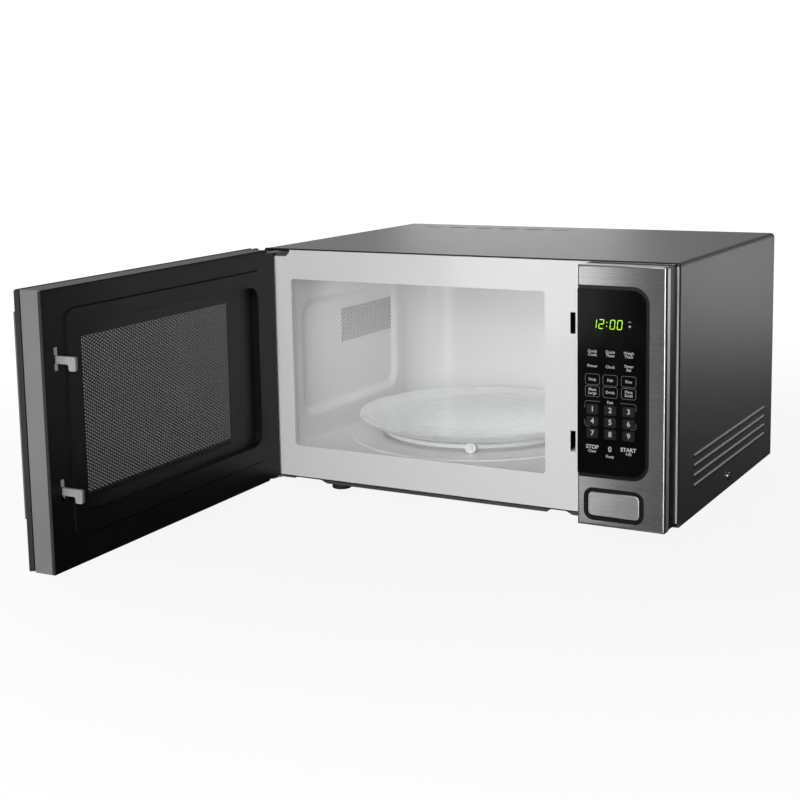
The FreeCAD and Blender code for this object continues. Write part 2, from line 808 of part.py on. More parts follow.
def control_panel():
    """Plastic frame with a brushed steel fascia, the key area, the display and the boards behind them."""
    depth = ("panel_front_y + fascia_gauge", "front_y - panel_gap")
    across = ("panel_left_x + 0.3", "panel_right_x - fascia_gauge")
    height = ("panel_low_z + fascia_gauge", "panel_top_z - fascia_gauge")
    frame = block("frame_box", across, depth, height)
    hollow = block(
        "frame_hollow",
        ("panel_left_x + frame_wall", "panel_right_x - fascia_gauge - frame_wall"),
        ("panel_front_y + fascia_gauge + frame_wall", "front_y + 1"),
        ("panel_low_z + fascia_gauge + frame_wall", "panel_top_z - fascia_gauge - frame_wall"),
    )
    bezel_x = ("bezel_left_x", "bezel_right_x")
    bezel_z = ("bezel_low_z", "bezel_top_z")
    front_cut = ("panel_front_y - 3", "panel_front_y + bezel_depth + 2")
    frame_way = plate("frame_bezel_way", bezel_x, front_cut, bezel_z, "bezel_radius", "y")
    well = block(
        "frame_display_way",
        ("display_left_x + 1", "display_right_x - 1"),
        front_cut,
        ("display_low_z + 1", "display_top_z - 1"),
    )
    keep(cut("frame", frame, hollow, frame_way, well), "control_panel_frame")

    front = SIZES["panel_front_y"]
    right = SIZES["panel_right_x"]
    outer = fillet(
        "fascia_outer",
        block(
            "fascia_box",
            ("panel_left_x", "panel_right_x"),
            ("panel_front_y", "panel_front_y + fascia_return"),
            ("panel_low_z", "panel_top_z"),
        ),
        "fascia_round",
        lambda edge: on_side(edge, y=front) or (on_side(edge, x=right) and runs_along(edge, "y")),
    )
    inside = block(
        "fascia_inside",
        ("panel_left_x - 1", "panel_right_x - fascia_gauge"),
        ("panel_front_y + fascia_gauge", "panel_front_y + 2 * fascia_return"),
        ("panel_low_z + fascia_gauge", "panel_top_z - fascia_gauge"),
    )
    key_area = ("keypad_low_z", "keypad_top_z")
    keypad_way = fillet(
        "keypad_way",
        block("keypad_way_box", ("panel_left_x - 1", "keypad_right_x"), front_cut, key_area),
        "keypad_radius",
        lambda edge: runs_along(edge, "y") and on_side(edge, x=SIZES["keypad_right_x"]),
    )
    button_way = plate("fascia_bezel_way", bezel_x, front_cut, bezel_z, "bezel_radius", "y")
    keep(cut("fascia", outer, inside, keypad_way, button_way), "control_fascia")

    pad_right = SIZES["keypad_right_x"] - SIZES["keypad_border"]
    pad = fillet(
        "keypad_pad",
        block(
            "keypad_box",
            ("panel_left_x + 0.3", "keypad_right_x - keypad_border"),
            ("panel_front_y - keypad_proud", "panel_front_y + fascia_gauge"),
            ("keypad_low_z + keypad_border", "keypad_top_z - keypad_border"),
        ),
        SIZES["keypad_radius"] - SIZES["keypad_border"],
        lambda edge: runs_along(edge, "y") and on_side(edge, x=pad_right),
    )
    window_z = ("display_low_z", "display_top_z")
    window_way = block("window_way", ("display_left_x", "display_right_x"), front_cut, window_z)
    keep(cut("keypad", pad, window_way), "keypad_membrane")
    lens = block(
        "lens",
        ("display_left_x + 0.05", "display_right_x - 0.05"),
        ("panel_front_y - keypad_proud", "panel_front_y + fascia_gauge"),
        ("display_low_z + 0.05", "display_top_z - 0.05"),
    )
    keep(lens, "display_window")
    module = block(
        "module",
        ("display_left_x + 3", "display_right_x - 3"),
        ("panel_front_y + fascia_gauge", "panel_front_y + 11.4"),
        ("display_low_z + 3", "display_top_z - 3"),
    )
    keep(module, "display_module")
    board = block(
        "board",
        ("panel_left_x + 5", "panel_right_x - 7"),
        ("panel_front_y + 11.5", "panel_front_y + 13.1"),
        ("keypad_low_z + 8", "panel_top_z - 12"),
    )
    keep(board, "control_board")


def release_button():
    """Rounded bezel, the push button that slides in it, and the lever that it tips to lift the door hooks."""
    x = ("bezel_left_x + 0.1", "bezel_right_x - 0.1")
    z = ("bezel_low_z + 0.1", "bezel_top_z - 0.1")
    y = ("panel_front_y - 0.8", "panel_front_y + bezel_depth")
    ring = plate("bezel_ring", x, y, z, "bezel_radius", "y")
    hole = plate(
        "bezel_hole",
        ("bezel_left_x + bezel_width", "bezel_right_x - bezel_width"),
        ("panel_front_y - 3", "panel_front_y + bezel_depth + 3"),
        ("bezel_low_z + bezel_width", "bezel_top_z - bezel_width"),
        SIZES["bezel_radius"] - SIZES["bezel_width"],
        "y",
    )
    keep(cut("bezel", ring, hole), "button_bezel")

    inset = "(bezel_width + button_gap)"
    cap_box = plate(
        "button_cap_plate",
        (f"bezel_left_x + {inset}", f"bezel_right_x - {inset}"),
        ("panel_front_y - 0.4", "panel_front_y + 11"),
        (f"bezel_low_z + {inset}", f"bezel_top_z - {inset}"),
        SIZES["bezel_radius"] - SIZES["bezel_width"] - SIZES["button_gap"],
        "y",
    )
    face = SIZES["panel_front_y"] - 0.4
    cap = fillet("button_cap", cap_box, 0.8, lambda edge: on_side(edge, y=face))
    stem = block(
        "button_stem",
        ("stem_left_x", "stem_right_x"),
        ("panel_front_y + 10", "lever_y - 2.4"),
        ("stem_low_z", "stem_top_z"),
    )
    keep(fuse("button", cap, stem), "release_button")

    middle = ("lever_y", "lever_z")
    shaft = rod("lever_rod", "x", middle, ("lever_left_x", "lever_right_x"), "lever_shaft")
    arm = block(
        "lever_arm",
        ("stem_left_x + 2", "stem_right_x - 2"),
        ("lever_y - 2", "lever_y + 2"),
        ("stem_low_z", "lever_z"),
    )
    finger = block(
        "lever_finger",
        ("lever_left_x", "lever_left_x + finger_width"),
        ("lever_y", "lever_y + finger_length"),
        ("lever_z - lever_shaft", "lever_z + 2.6"),
    )
    keep(fuse("lever", shaft, arm, finger), "release_lever")

    seat_z = ("lever_z - ear_half", "lever_z + ear_half")
    strip_x = ("ear_left_x", "ear_right_x + ear_gauge")
    seat = [block("lever_strip", strip_x, ("front_y + sheet", "front_y + 2.5"), seat_z)]
    for side in ("left", "right"):
        ear_x = (f"ear_{side}_x", f"ear_{side}_x + ear_gauge")
        seat.append(block(f"lever_ear_{side}", ear_x, ("front_y + sheet", "lever_y + 6"), seat_z))
    bore_x = ("ear_left_x - 4", "ear_right_x + 2 * ear_gauge")
    bore = rod("lever_bore", "x", middle, bore_x, "lever_shaft + lever_fit")
    keep(cut("lever_seat", fuse("lever_seat_solid", *seat), bore), "lever_bracket")


def latch_board():
    """Moulded guide behind the front plate that the door hooks enter, with its three switches."""
    body = block(
        "latch_body",
        ("guide_left_x", "guide_right_x"),
        ("front_y + sheet", "hook_tip_y + 7"),
        ("guide_low_z", "guide_top_z"),
    )
    upper_way = block(
        "latch_upper_way",
        ("guide_left_x + guide_wall", "guide_right_x - 1.5 * guide_wall"),
        ("front_y", "hook_tip_y + 3"),
        ("upper_slot_z - 1", "upper_slot_z + slot_height + 1"),
    )
    lower_way = block(
        "latch_lower_way",
        ("guide_left_x - 1", "guide_right_x + 1"),
        ("front_y", "hook_tip_y + 8"),
        ("guide_low_z - 1", "lower_slot_z + slot_height + 1"),
    )
    waist = block(
        "latch_waist",
        ("guide_left_x - 1", "guide_right_x - 7"),
        ("front_y", "hook_tip_y + 8"),
        ("lower_slot_z + slot_height + 8", "upper_slot_z - 8"),
    )
    keep(cut("latch", body, waist, upper_way, lower_way), "latch_board")
    for name, low in SWITCHES.items():
        case = block(
            f"switch_{name}_case",
            ("guide_right_x", "guide_right_x + switch_width"),
            ("switch_front_y", "switch_back_y"),
            (low, f"{low} + switch_height"),
        )
        end = ("guide_right_x + switch_width / 2", f"{low} + plunger_in")
        stroke = ("switch_back_y - 0.5", "switch_back_y + 1.5")
        pin = rod(f"switch_{name}_pin", "y", end, stroke, "plunger_radius")
        keep(fuse(f"switch_{name}_solid", case, pin), f"switch_{name}")


def hinge_brackets():
    """Two folded steel brackets, each with a tongue that carries one hinge pin of the door."""
    for level in ("upper", "lower"):
        low = f"{level}_tongue_z"
        high = f"{level}_tongue_z + tongue_gauge"
        if level == "upper":
            reach = "front_y + 9"
            wing_y = ("front_y + sheet", "front_y + 3")
            wing_z = (f"{low} - 24", high)
            pin_z = (f"{low} - pin_length", low)
        else:
            reach = "front_y + 16"
            wing_y = ("front_y - 0.4", reach)
            wing_z = (low, high)
            pin_z = (high, f"{high} + pin_length")
        inner_x = "hinge_x - tongue_radius + 2"
        nose = rod(f"{level}_nose", "z", ("hinge_x", "hinge_y"), (low, high), "tongue_radius")
        tongue_x = (inner_x, "hinge_x + tongue_radius")
        tongue = block(f"{level}_tongue", tongue_x, ("hinge_y", reach), (low, high))
        wing = block(f"{level}_wing", (inner_x, "left_x + 32"), wing_y, wing_z)
        pin = rod(f"{level}_pin", "z", ("hinge_x", "hinge_y"), pin_z, "pin_radius")
        keep(fuse(f"{level}_bracket", nose, tongue, wing, pin), f"{level}_hinge_bracket")


# ---------------------------------------------------------------- door


def hinge_clearances(name):
    """What every door layer loses at the hinge side: a pocket for each bracket and a bore for each pin."""
    far = ("hinge_y - 12", "front_y")
    upper_bore = ("upper_tongue_z - pin_length - 1", "upper_tongue_z")
    lower_bore = ("lower_tongue_z + 1", "lower_tongue_z + pin_length + 3")
    upper_pocket = ("upper_tongue_z - 1", "door_top_z + 1")
    lower_pocket = ("door_low_z - 1", "lower_tongue_z + 3")
    axis = ("hinge_x", "hinge_y")
    return [
        block(name + "_upper_pocket", ("door_left_x - 1", "hinge_x + 9"), far, upper_pocket),
        block(name + "_lower_pocket", ("door_left_x - 1", "hinge_x + 16"), far, lower_pocket),
        rod(name + "_upper_bore", "z", axis, upper_bore, "pin_radius + pin_fit"),
        rod(name + "_lower_bore", "z", axis, lower_bore, "pin_radius + pin_fit"),
    ]


def door_shell():
    """Moulded surround of the door, a ring with a solid hinge column."""
    y = ("backing_back_y", "shell_back_y")
    body = block("shell_body", ("door_left_x", "door_right_x"), y, ("door_low_z", "door_top_z"))
    hollow = plate(
        "shell_hollow",
        ("door_left_x + hinge_column", "door_right_x - shell_wall"),
        ("backing_back_y - 1", "shell_back_y + 1"),
        ("door_low_z + shell_wall", "door_top_z - shell_wall"),
        4.0,
        "y",
    )
    return keep_on_door(cut("shell", body, hollow, *hinge_clearances("shell")), "door_shell")


def door_skin():
    """Brushed steel face of the door, cut out for the glass."""
    face = SIZES["door_face_y"]
    whole_z = ("door_low_z", "door_top_z")
    through = ("door_face_y - 1", "skin_back_y + 1")
    sheet = fillet(
        "skin_sheet",
        block("skin_box", ("door_left_x", "door_right_x"), ("door_face_y", "skin_back_y"), whole_z),
        1.2,
        lambda edge: on_side(edge, y=face),
    )
    way = fillet(
        "skin_way",
        block(
            "skin_way_box",
            ("glass_left_x", "door_right_x + 1"),
            through,
            ("keypad_low_z", "keypad_top_z"),
        ),
        "keypad_radius",
        lambda edge: runs_along(edge, "y") and on_side(edge, x=SIZES["glass_left_x"]),
    )
    return keep_on_door(cut("skin", sheet, way), "door_skin")


def door_backing():
    """Black plate behind the skin and the glass, open at the window."""
    body = block(
        "backing_body",
        ("door_left_x + 1", "door_right_x - 1"),
        ("skin_back_y", "backing_back_y"),
        ("door_low_z + 1", "door_top_z - 1"),
    )
    way = plate(
        "backing_way",
        ("window_left_x", "window_right_x + 8"),
        ("skin_back_y - 1", "backing_back_y + 1"),
        ("window_low_z + 8", "window_top_z + 2"),
        "window_radius",
        "y",
    )
    return keep_on_door(cut("backing", body, way), "door_backing")


def outer_glass():
    """Raised dark glass that runs to the free edge, in line with the key area beside it."""
    face = SIZES["door_face_y"] - SIZES["glass_proud"]
    left = SIZES["glass_left_x"] + 0.3
    slab = fillet(
        "glass_slab",
        block(
            "glass_box",
            ("glass_left_x + 0.3", "door_right_x"),
            ("door_face_y - glass_proud", "skin_back_y"),
            ("keypad_low_z + 0.3", "keypad_top_z - 0.3"),
        ),
        "keypad_radius",
        lambda edge: runs_along(edge, "y") and on_side(edge, x=left),
    )
    soft = fillet("glass_soft", slab, 0.8, lambda edge: on_side(edge, y=face))
    return keep_on_door(soft, "outer_glass")


def door_screen():
    """Steel screen between the window's two sides."""
    sheet = plate(
        "screen",
        ("emboss_left_x + 1", "emboss_right_x"),
        ("well_front_y - sheet", "well_front_y"),
        ("emboss_low_z - 8", "emboss_top_z + 8"),
        "emboss_radius",
        "y",
    )
    return keep_on_door(sheet, "door_screen")


def choke_cover():
    """Black inner face of the door: a raised frame round a sunken window, and a slot for each hook."""
    edge_y = SIZES["cover_back_y"]
    whole = ("shell_back_y", "cover_back_y")
    flat = chamfer(
        "cover_flat",
        block("cover_box", ("door_left_x", "door_right_x"), whole, ("door_low_z", "door_top_z")),
        1.2,
        lambda edge: on_side(edge, y=edge_y) and not on_side(edge, x=SIZES["door_right_x"]),
    )
    raised_box = plate(
        "cover_raised_plate",
        ("emboss_left_x", "emboss_right_x"),
        ("cover_back_y - 0.5", "emboss_y"),
        ("emboss_low_z", "emboss_top_z"),
        "emboss_radius",
        "y",
    )
    crown = SIZES["emboss_y"]
    raised = chamfer("cover_raised", raised_box, 1.4, lambda edge: on_side(edge, y=crown))
    well = plate(
        "cover_well",
        ("window_left_x - well_wall", "window_right_x + well_wall"),
        ("well_front_y", "cover_back_y"),
        ("window_low_z - well_wall", "window_top_z + well_wall"),
        SIZES["window_radius"] + SIZES["well_wall"],
        "y",
    )
    window = plate(
        "cover_window",
        ("window_left_x", "window_right_x"),
        ("well_front_y - 1", "emboss_y + 1"),
        ("window_low_z", "window_top_z"),
        "window_radius",
        "y",
    )
    slots = [
        block(
            f"cover_{level}_slot",
            ("slot_left_x - 0.6", "slot_right_x + 0.6"),
            ("well_front_y - 1", "emboss_y + 1"),
            (f"{level}_slot_z", f"{level}_slot_z + slot_height"),
        )
        for level in ("upper", "lower")
    ]
    solid = fuse("cover_solid", flat, raised, well)
    return keep_on_door(cut("cover", solid, window, *slots, *hinge_clearances("cover")), "choke_cover")


def latch_arm():
    """Moulded bar that slides up and down inside the free edge of the door and carries both hooks."""
    x = ("hook_left_x", "hook_right_x")
    bar = block(
        "latch_bar",
        ("hook_left_x - 2", "hook_right_x + 2"),
        ("latch_front_y", "latch_back_y"),
        ("lower_slot_z - 6", "upper_slot_z + slot_height - 4"),
    )
    parts = [bar]
    for level in ("upper", "lower"):
        low = f"{level}_slot_z + 1 + hook_drop"
        arm_y = ("latch_back_y - 1", "hook_tip_y")
        parts.append(block(f"hook_{level}_bar", x, arm_y, (low, f"{low} + hook_height")))
        nose = block(
            f"hook_{level}_nose_box",
            x,
            ("hook_tip_y - hook_nose", "hook_tip_y"),
            (f"{low} - hook_drop", f"{low} + 1"),
        )
        parts.append(nose)
    tip = SIZES["hook_tip_y"]
    heel = tip - SIZES["hook_nose"]
    rounded = fillet(
        "latch_rounded",
        fuse("latch_bar_solid", *parts),
        "hook_round",
        lambda edge: runs_along(edge, "x") and (on_side(edge, y=tip) or on_side(edge, y=heel)),
    )
    return keep_on_door(rounded, "latch_arm")


# ---------------------------------------------------------------- machinery


def microwave_source():
    """Waveguide with its mica cover on the cavity wall, and the magnetron on its far side."""
    middle = ("(port_front_y + port_back_y) / 2", "(port_low_z + port_top_z) / 2")
    far_x = "(magnetron_x + magnetron_length)"

    def about_port(name, x, grow_y, grow_z):
        """A block that stands round the port, larger by grow_y and grow_z on every side."""
        y = (f"port_front_y - ({grow_y})", f"port_back_y + ({grow_y})")
        return block(name, x, y, (f"port_low_z - ({grow_z})", f"port_top_z + ({grow_z})"))

    tube = about_port("guide_tube", ("cavity_right_x + sheet", "magnetron_x"), 2, 2)
    bore = about_port("guide_bore", ("cavity_right_x", "magnetron_x - 2"), 0, 0)
    end_wall = ("magnetron_x - 3", "magnetron_x + 1")
    antenna_way = rod("guide_antenna_way", "x", middle, end_wall, "antenna_radius + 2")
    keep(cut("guide", tube, bore, antenna_way), "waveguide")
    keep(about_port("mica", ("cavity_right_x - 1.2", "cavity_right_x"), 8, 8), "waveguide_cover")

    yoke = about_port("yoke_box", ("magnetron_x", far_x), 6, 10)
    between = ("magnetron_x + yoke_gauge", f"{far_x} - yoke_gauge")
    inside = about_port("yoke_inside", between, 7, 8)
    passage = rod("yoke_passage", "x", middle, ("magnetron_x - 1", f"{far_x} + 1"), 13)
    keep(cut("yoke", yoke, inside, passage), "magnetron_yoke")
    core = rod("tube_core", "x", middle, between, "anode_radius")
    fins = []
    for n in range(MAGNETRON_FINS):
        low = f"magnetron_x + 8 + {n} * fin_pitch"
        fins.append(about_port(f"fin_{n}", (low, f"{low} + fin_gauge"), 4, 6))
    dome = rod("tube_dome", "x", middle, ("magnetron_x - 18", "magnetron_x + 3"), "antenna_radius")
    keep(fuse("tube", core, dome, *fins), "magnetron_tube")


def power_supply():
    """High-voltage transformer and capacitor on the base, and the mains filter board."""
    across = ("core_left_x", "core_right_x")
    legs = block("core_block", across, ("core_front_y", "core_back_y"), ("base_z + sheet", "core_top_z"))
    windows = []
    for n in range(2):
        start = f"core_front_y + core_leg + {n} * 2 * core_leg"
        windows.append(
            block(
                f"core_window_{n}",
                ("core_left_x - 1", "core_right_x + 1"),
                (start, f"{start} + core_window"),
                ("core_window_low_z", "core_window_top_z"),
            )
        )
    keep(cut("core", legs, *windows), "transformer_core")
    coil = plate(
        "coil_block",
        ("core_left_x - coil_overhang", "core_right_x + coil_overhang"),
        ("core_front_y + core_leg + coil_gap", "core_back_y - core_leg - coil_gap"),
        ("core_window_low_z + coil_gap", "core_window_top_z - coil_gap"),
        8.0,
        "x",
    )
    beside_leg = "core_leg + core_window - coil_gap"
    leg_way = block(
        "coil_leg_way",
        ("core_left_x - coil_gap", "core_right_x + coil_gap"),
        (f"core_front_y + ({beside_leg})", f"core_back_y - ({beside_leg})"),
        ("core_window_low_z - 9", "core_window_top_z + 7"),
    )
    keep(cut("coil", coil, leg_way), "transformer_windings")
    can = plate(
        "capacitor_can",
        ("can_left_x", "can_right_x"),
        ("can_front_y", "can_back_y"),
        ("base_z + sheet", "can_top_z"),
        15.0,
        "z",
    )
    keep(can, "capacitor")
    board = block(
        "filter",
        ("filter_left_x", "filter_right_x"),
        ("filter_front_y", "filter_back_y"),
        ("filter_z", "filter_z + board_gauge"),
    )
    keep(board, "filter_board")


def cooling_fan():
    """Fan with its shroud on the rear plate and its motor in front of it."""
    centre = ("fan_x", "fan_z")
    across = ("fan_x - shroud_half", "fan_x + shroud_half")
    square_z = ("fan_z - shroud_half", "fan_z + shroud_half")
    wall = block("shroud_wall", across, ("rear_y - 24 - shroud_gauge", "rear_y - 24"), square_z)
    rim = rod("shroud_rim", "y", centre, ("rear_y - 24.5", "rear_y - 3"), "fan_radius + 5")
    hole = rod("shroud_hole", "y", centre, ("rear_y - 30", "rear_y"), "fan_radius + 3")
    keep(cut("shroud", fuse("shroud_solid", wall, rim), hole), "fan_shroud")
    motor = block(
        "fan_motor_block",
        ("fan_x - fan_motor_half", "fan_x + fan_motor_half"),
        ("rear_y - 62", "rear_y - 40"),
        ("fan_z - fan_motor_half_z", "fan_z + fan_motor_half_z"),
    )
    arms = block("fan_motor_arms", across, ("rear_y - 46", "rear_y - 44"), ("fan_z - 6", "fan_z + 6"))
    posts = []
    for side, sign in (("left", "-"), ("right", "+")):
        foot = (f"fan_x {sign} fan_post_reach", "fan_z")
        posts.append(rod(f"fan_post_{side}", "y", foot, ("rear_y - 45", "rear_y - 26"), 3))
    bore = rod("fan_motor_bore", "y", centre, ("rear_y - 56", "rear_y - 39"), "fan_shaft + shaft_fit")
    keep(cut("fan_motor_solid", fuse("fan_motor_whole", motor, arms, *posts), bore), "fan_motor")

    shaft = rod("fan_shaft_rod", "y", centre, ("rear_y - 55", "rear_y - 8"), "fan_shaft")
    hub = rod("fan_hub", "y", centre, ("rear_y - 20", "rear_y - 6"), 13)
    width, height = 18.0, 1.6
    pitch = Rotation(Vector(1, 0, 0), 55)
    middle = Vector(SIZES["fan_x"], SIZES["rear_y"] - 13, SIZES["fan_z"])
    start = pitch.multVec(Vector(0, -height / 2, -width / 2)) + Vector(9, 0, 0)
    blades = []
    for n in range(FAN_BLADES):
        blade = doc.addObject("Part::Box", f"fan_blade_{n}")
        bind(blade, "Length", "fan_radius - 10")
        blade.Width = height
        blade.Height = width
        around = Rotation(Vector(0, 1, 0), 360 / FAN_BLADES * n)
        blade.Placement = Placement(middle + around.multVec(start), around.multiply(pitch))
        blades.append(blade)
    sweep = rod("fan_sweep", "y", centre, ("rear_y - 23", "rear_y - 3.5"), "fan_radius")
    stub = rod("fan_limit_shaft", "y", centre, ("rear_y - 56", "rear_y - 8"), "2 * fan_shaft")
    whole = fuse("fan_solid", shaft, hub, *blades)
    keep(common("fan", whole, fuse("fan_limits", sweep, stub)), "fan_blade")


def small_fittings():
    """Oven lamp, thermal cut-out and the two screws that hold the wrap's sides."""
    bulb_x = ("cavity_right_x + 12", "cavity_right_x + 30")
    bulb = rod("lamp_bulb", "x", ("lamp_y", "lamp_z"), bulb_x, 8)
    holder = block(
        "lamp_holder",
        ("cavity_right_x + sheet", "cavity_right_x + 13"),
        ("lamp_y - 12", "lamp_y + 11"),
        ("lamp_z - 14", "lamp_z + 14"),
    )
    keep(fuse("lamp", bulb, holder), "oven_lamp")
    cutout_z = ("cavity_top_z + sheet", "cavity_top_z + 10")
    keep(rod("cutout", "z", ("cutout_x", "cutout_y"), cutout_z, 9), "thermal_cutout")
    for side, sign in (("right", 1), ("left", -1)):
        outer = f"{side}_x + {sign} * screw_height"
        along = (f"{side}_x", outer) if sign > 0 else (outer, f"{side}_x")
        head = rod(f"screw_{side}_head", "x", ("screw_y", "screw_z"), along, "screw_radius")
        face = SIZES[f"{side}_x"] + sign * SIZES["screw_height"]
        soft = fillet(
            f"screw_{side}_soft", head, 0.8, lambda edge, at=face: on_side(edge, x=at) and edge.Length > 1
        )
        keep(soft, f"wrap_screw_{side}")


def check_document():
    """Stops if any object failed to build."""
    doc.recompute()
    for item in doc.Objects:
        if "Invalid" in item.State or "Error" in item.State:
            raise RuntimeError(f"{item.Name} did not build: {item.State}")
    for item in pieces:
        if item.Shape.isNull() or not item.Shape.isValid() or item.Shape.Volume <= 0:
            raise RuntimeError(f"{item.Label} is not a valid solid")


def main():
    make_sheet()
    for build in (
        outer_wrap, base_plate, feet, rear_plate, cord_grommet, front_plate,
        cavity_left_wall, cavity_right_wall, cavity_back_wall, cavity_ceiling, cavity_floor,
        turntable, control_panel, release_button, latch_board, hinge_brackets,
        door_shell, door_skin, door_backing, outer_glass, door_screen, choke_cover, latch_arm,
        microwave_source, power_supply, cooling_fan, small_fittings,
    ):
        build()
    check_document()
    os.makedirs("parts", exist_ok=True)
    for item in pieces:
        item.Shape.exportStep(f"parts/{item.Label}.step")
    print(len(pieces), "nodes")


main()
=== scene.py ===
"""Looks of a countertop microwave oven: finishes, panel print, perforations, glass tray, light and camera."""

import json
import math

import bmesh
import bpy
from mathutils import Matrix, Vector


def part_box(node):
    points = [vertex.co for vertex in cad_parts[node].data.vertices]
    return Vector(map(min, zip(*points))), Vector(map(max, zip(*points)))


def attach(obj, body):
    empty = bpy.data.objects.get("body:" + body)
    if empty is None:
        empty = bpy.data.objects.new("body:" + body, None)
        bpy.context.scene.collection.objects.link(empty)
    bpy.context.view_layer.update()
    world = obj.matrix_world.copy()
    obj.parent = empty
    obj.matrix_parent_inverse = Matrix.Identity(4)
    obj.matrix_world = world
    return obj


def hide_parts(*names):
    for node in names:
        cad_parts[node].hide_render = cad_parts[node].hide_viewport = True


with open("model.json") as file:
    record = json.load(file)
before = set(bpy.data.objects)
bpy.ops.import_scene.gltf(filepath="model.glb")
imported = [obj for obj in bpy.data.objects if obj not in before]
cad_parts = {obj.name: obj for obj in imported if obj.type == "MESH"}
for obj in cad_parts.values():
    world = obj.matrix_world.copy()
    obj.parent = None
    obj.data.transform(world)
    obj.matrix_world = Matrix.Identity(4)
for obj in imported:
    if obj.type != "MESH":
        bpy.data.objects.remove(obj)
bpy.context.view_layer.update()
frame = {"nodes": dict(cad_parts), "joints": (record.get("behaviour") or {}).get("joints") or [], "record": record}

NODES = frame["nodes"]
MM = 0.001

# ---------------------------------------------------------------- shader helpers


def add(tree, kind, inputs=None, **settings):
    """A shader node; inputs may be numbers, colours or the outputs of other nodes."""
    item = tree.nodes.new("ShaderNode" + kind)
    for key, value in settings.items():
        setattr(item, key, value)
    for key, value in (inputs or {}).items():
        if isinstance(value, bpy.types.NodeSocket):
            tree.links.new(value, item.inputs[key])
        else:
            item.inputs[key].default_value = value
    return item


def new_material(name, **sockets):
    """A Principled material with plain values on its own sockets."""
    material = bpy.data.materials.new(name)
    material.use_nodes = True
    shader = material.node_tree.nodes["Principled BSDF"]
    for key, value in sockets.items():
        shader.inputs[key.replace("_", " ")].default_value = value
    return material, material.node_tree, shader


def spread(tree, size_mm):
    """Object coordinates scaled so that one unit is size_mm along each axis."""
    place = add(tree, "TexCoord")
    scale = tuple(1 / (s * MM) for s in size_mm)
    return add(tree, "Mapping", {"Vector": place.outputs["Object"], "Scale": scale}).outputs[0]


def noise(tree, size_mm, detail=2.0, rough=0.5):
    """Smooth noise between 0 and 1 whose grains are about size_mm."""
    inputs = {"Vector": spread(tree, size_mm), "Scale": 1.0, "Detail": detail, "Roughness": rough}
    return add(tree, "TexNoise", inputs).outputs["Fac"]


def drawn_out(run, short_mm, long_mm):
    """Grain sizes that are long along one axis, 0 to 2, and short across it."""
    size = [short_mm] * 3
    size[run] = long_mm
    return size


def mix(tree, share, first, second):
    """A number that is share of the way from first to second."""
    inputs = {"Factor": share, "A": first, "B": second}
    return add(tree, "Mix", inputs, data_type="FLOAT").outputs["Result"]


def between(tree, fac, low, high, start=0.3, stop=0.7):
    """A number that runs from low to high as fac runs from start to stop."""
    inputs = {"Value": fac, "From Min": start, "From Max": stop, "To Min": low, "To Max": high}
    return add(tree, "MapRange", inputs).outputs["Result"]


def tones(tree, fac, dark, light, start=0.3, stop=0.7):
    """A colour that runs from dark to light as fac runs from start to stop."""
    ramp = add(tree, "ValToRGB", {"Fac": fac})
    for stopper, place, colour in zip(ramp.color_ramp.elements, (start, stop), (dark, light)):
        stopper.position = place
        stopper.color = (*colour, 1.0)
    return ramp.outputs["Color"]


def relief(tree, height, depth_mm, strength=1.0, below=None):
    """A bump whose full height is depth_mm, laid over another bump if one is given."""
    inputs = {"Height": height, "Distance": depth_mm * MM, "Strength": strength}
    if below is not None:
        inputs["Normal"] = below
    return add(tree, "Bump", inputs).outputs["Normal"]


def grey(value, warm=0.0):
    """A near-grey colour, slightly warm above 0 and slightly cool below."""
    return (value * (1 + warm), value, value * (1 - warm))


def scale_colour(colour, factor):
    return tuple(min(1.0, c * factor) for c in colour)


def finish_of(
    name, colour, rough, grain_mm, depth_mm, vary=0.12, cloud_mm=60, metal=0.0, specular=0.5, coat=0.0
):
    """A moulded, painted or enamelled surface: fine grain in the relief, slow clouds in colour and gloss."""
    material, tree, shader = new_material(
        name, Metallic=metal, Specular_IOR_Level=specular, Coat_Weight=coat, Coat_Roughness=0.08
    )
    fine = noise(tree, (grain_mm,) * 3, 3.0)
    cloud = noise(tree, (cloud_mm,) * 3, 4.0)
    blend = mix(tree, 0.5, fine, cloud)
    dark, light = scale_colour(colour, 1 - vary), scale_colour(colour, 1 + vary)
    links = tree.links
    links.new(tones(tree, blend, dark, light), shader.inputs["Base Color"])
    links.new(between(tree, cloud, rough * 0.96, rough * 1.05), shader.inputs["Roughness"])
    links.new(relief(tree, fine, depth_mm), shader.inputs["Normal"])
    return material


def brushed_metal(name, colour, run, rough=0.3, anisotropic=0.95, turn=0.25, vary=0.24):
    """Brushed steel; run is the axis, 0 to 2, that the brush marks follow."""
    material, tree, shader = new_material(
        name, Metallic=1.0, Anisotropic=anisotropic, Anisotropic_Rotation=turn
    )
    streaks = noise(tree, drawn_out(run, 0.5, 9.0), 3.0, 0.65)
    bands = noise(tree, drawn_out(run, 1.5, 90.0), 2.0)
    blend = mix(tree, 0.3, streaks, bands)
    dark, light = scale_colour(colour, 1 - vary), scale_colour(colour, 1 + vary)
    tangent = add(tree, "Tangent", direction_type="RADIAL", axis="Z")
    links = tree.links
    links.new(tones(tree, blend, dark, light), shader.inputs["Base Color"])
    links.new(between(tree, blend, rough * 0.92, rough * 1.1), shader.inputs["Roughness"])
    links.new(relief(tree, streaks, 0.0006), shader.inputs["Normal"])
    links.new(tangent.outputs[0], shader.inputs["Tangent"])
    return material


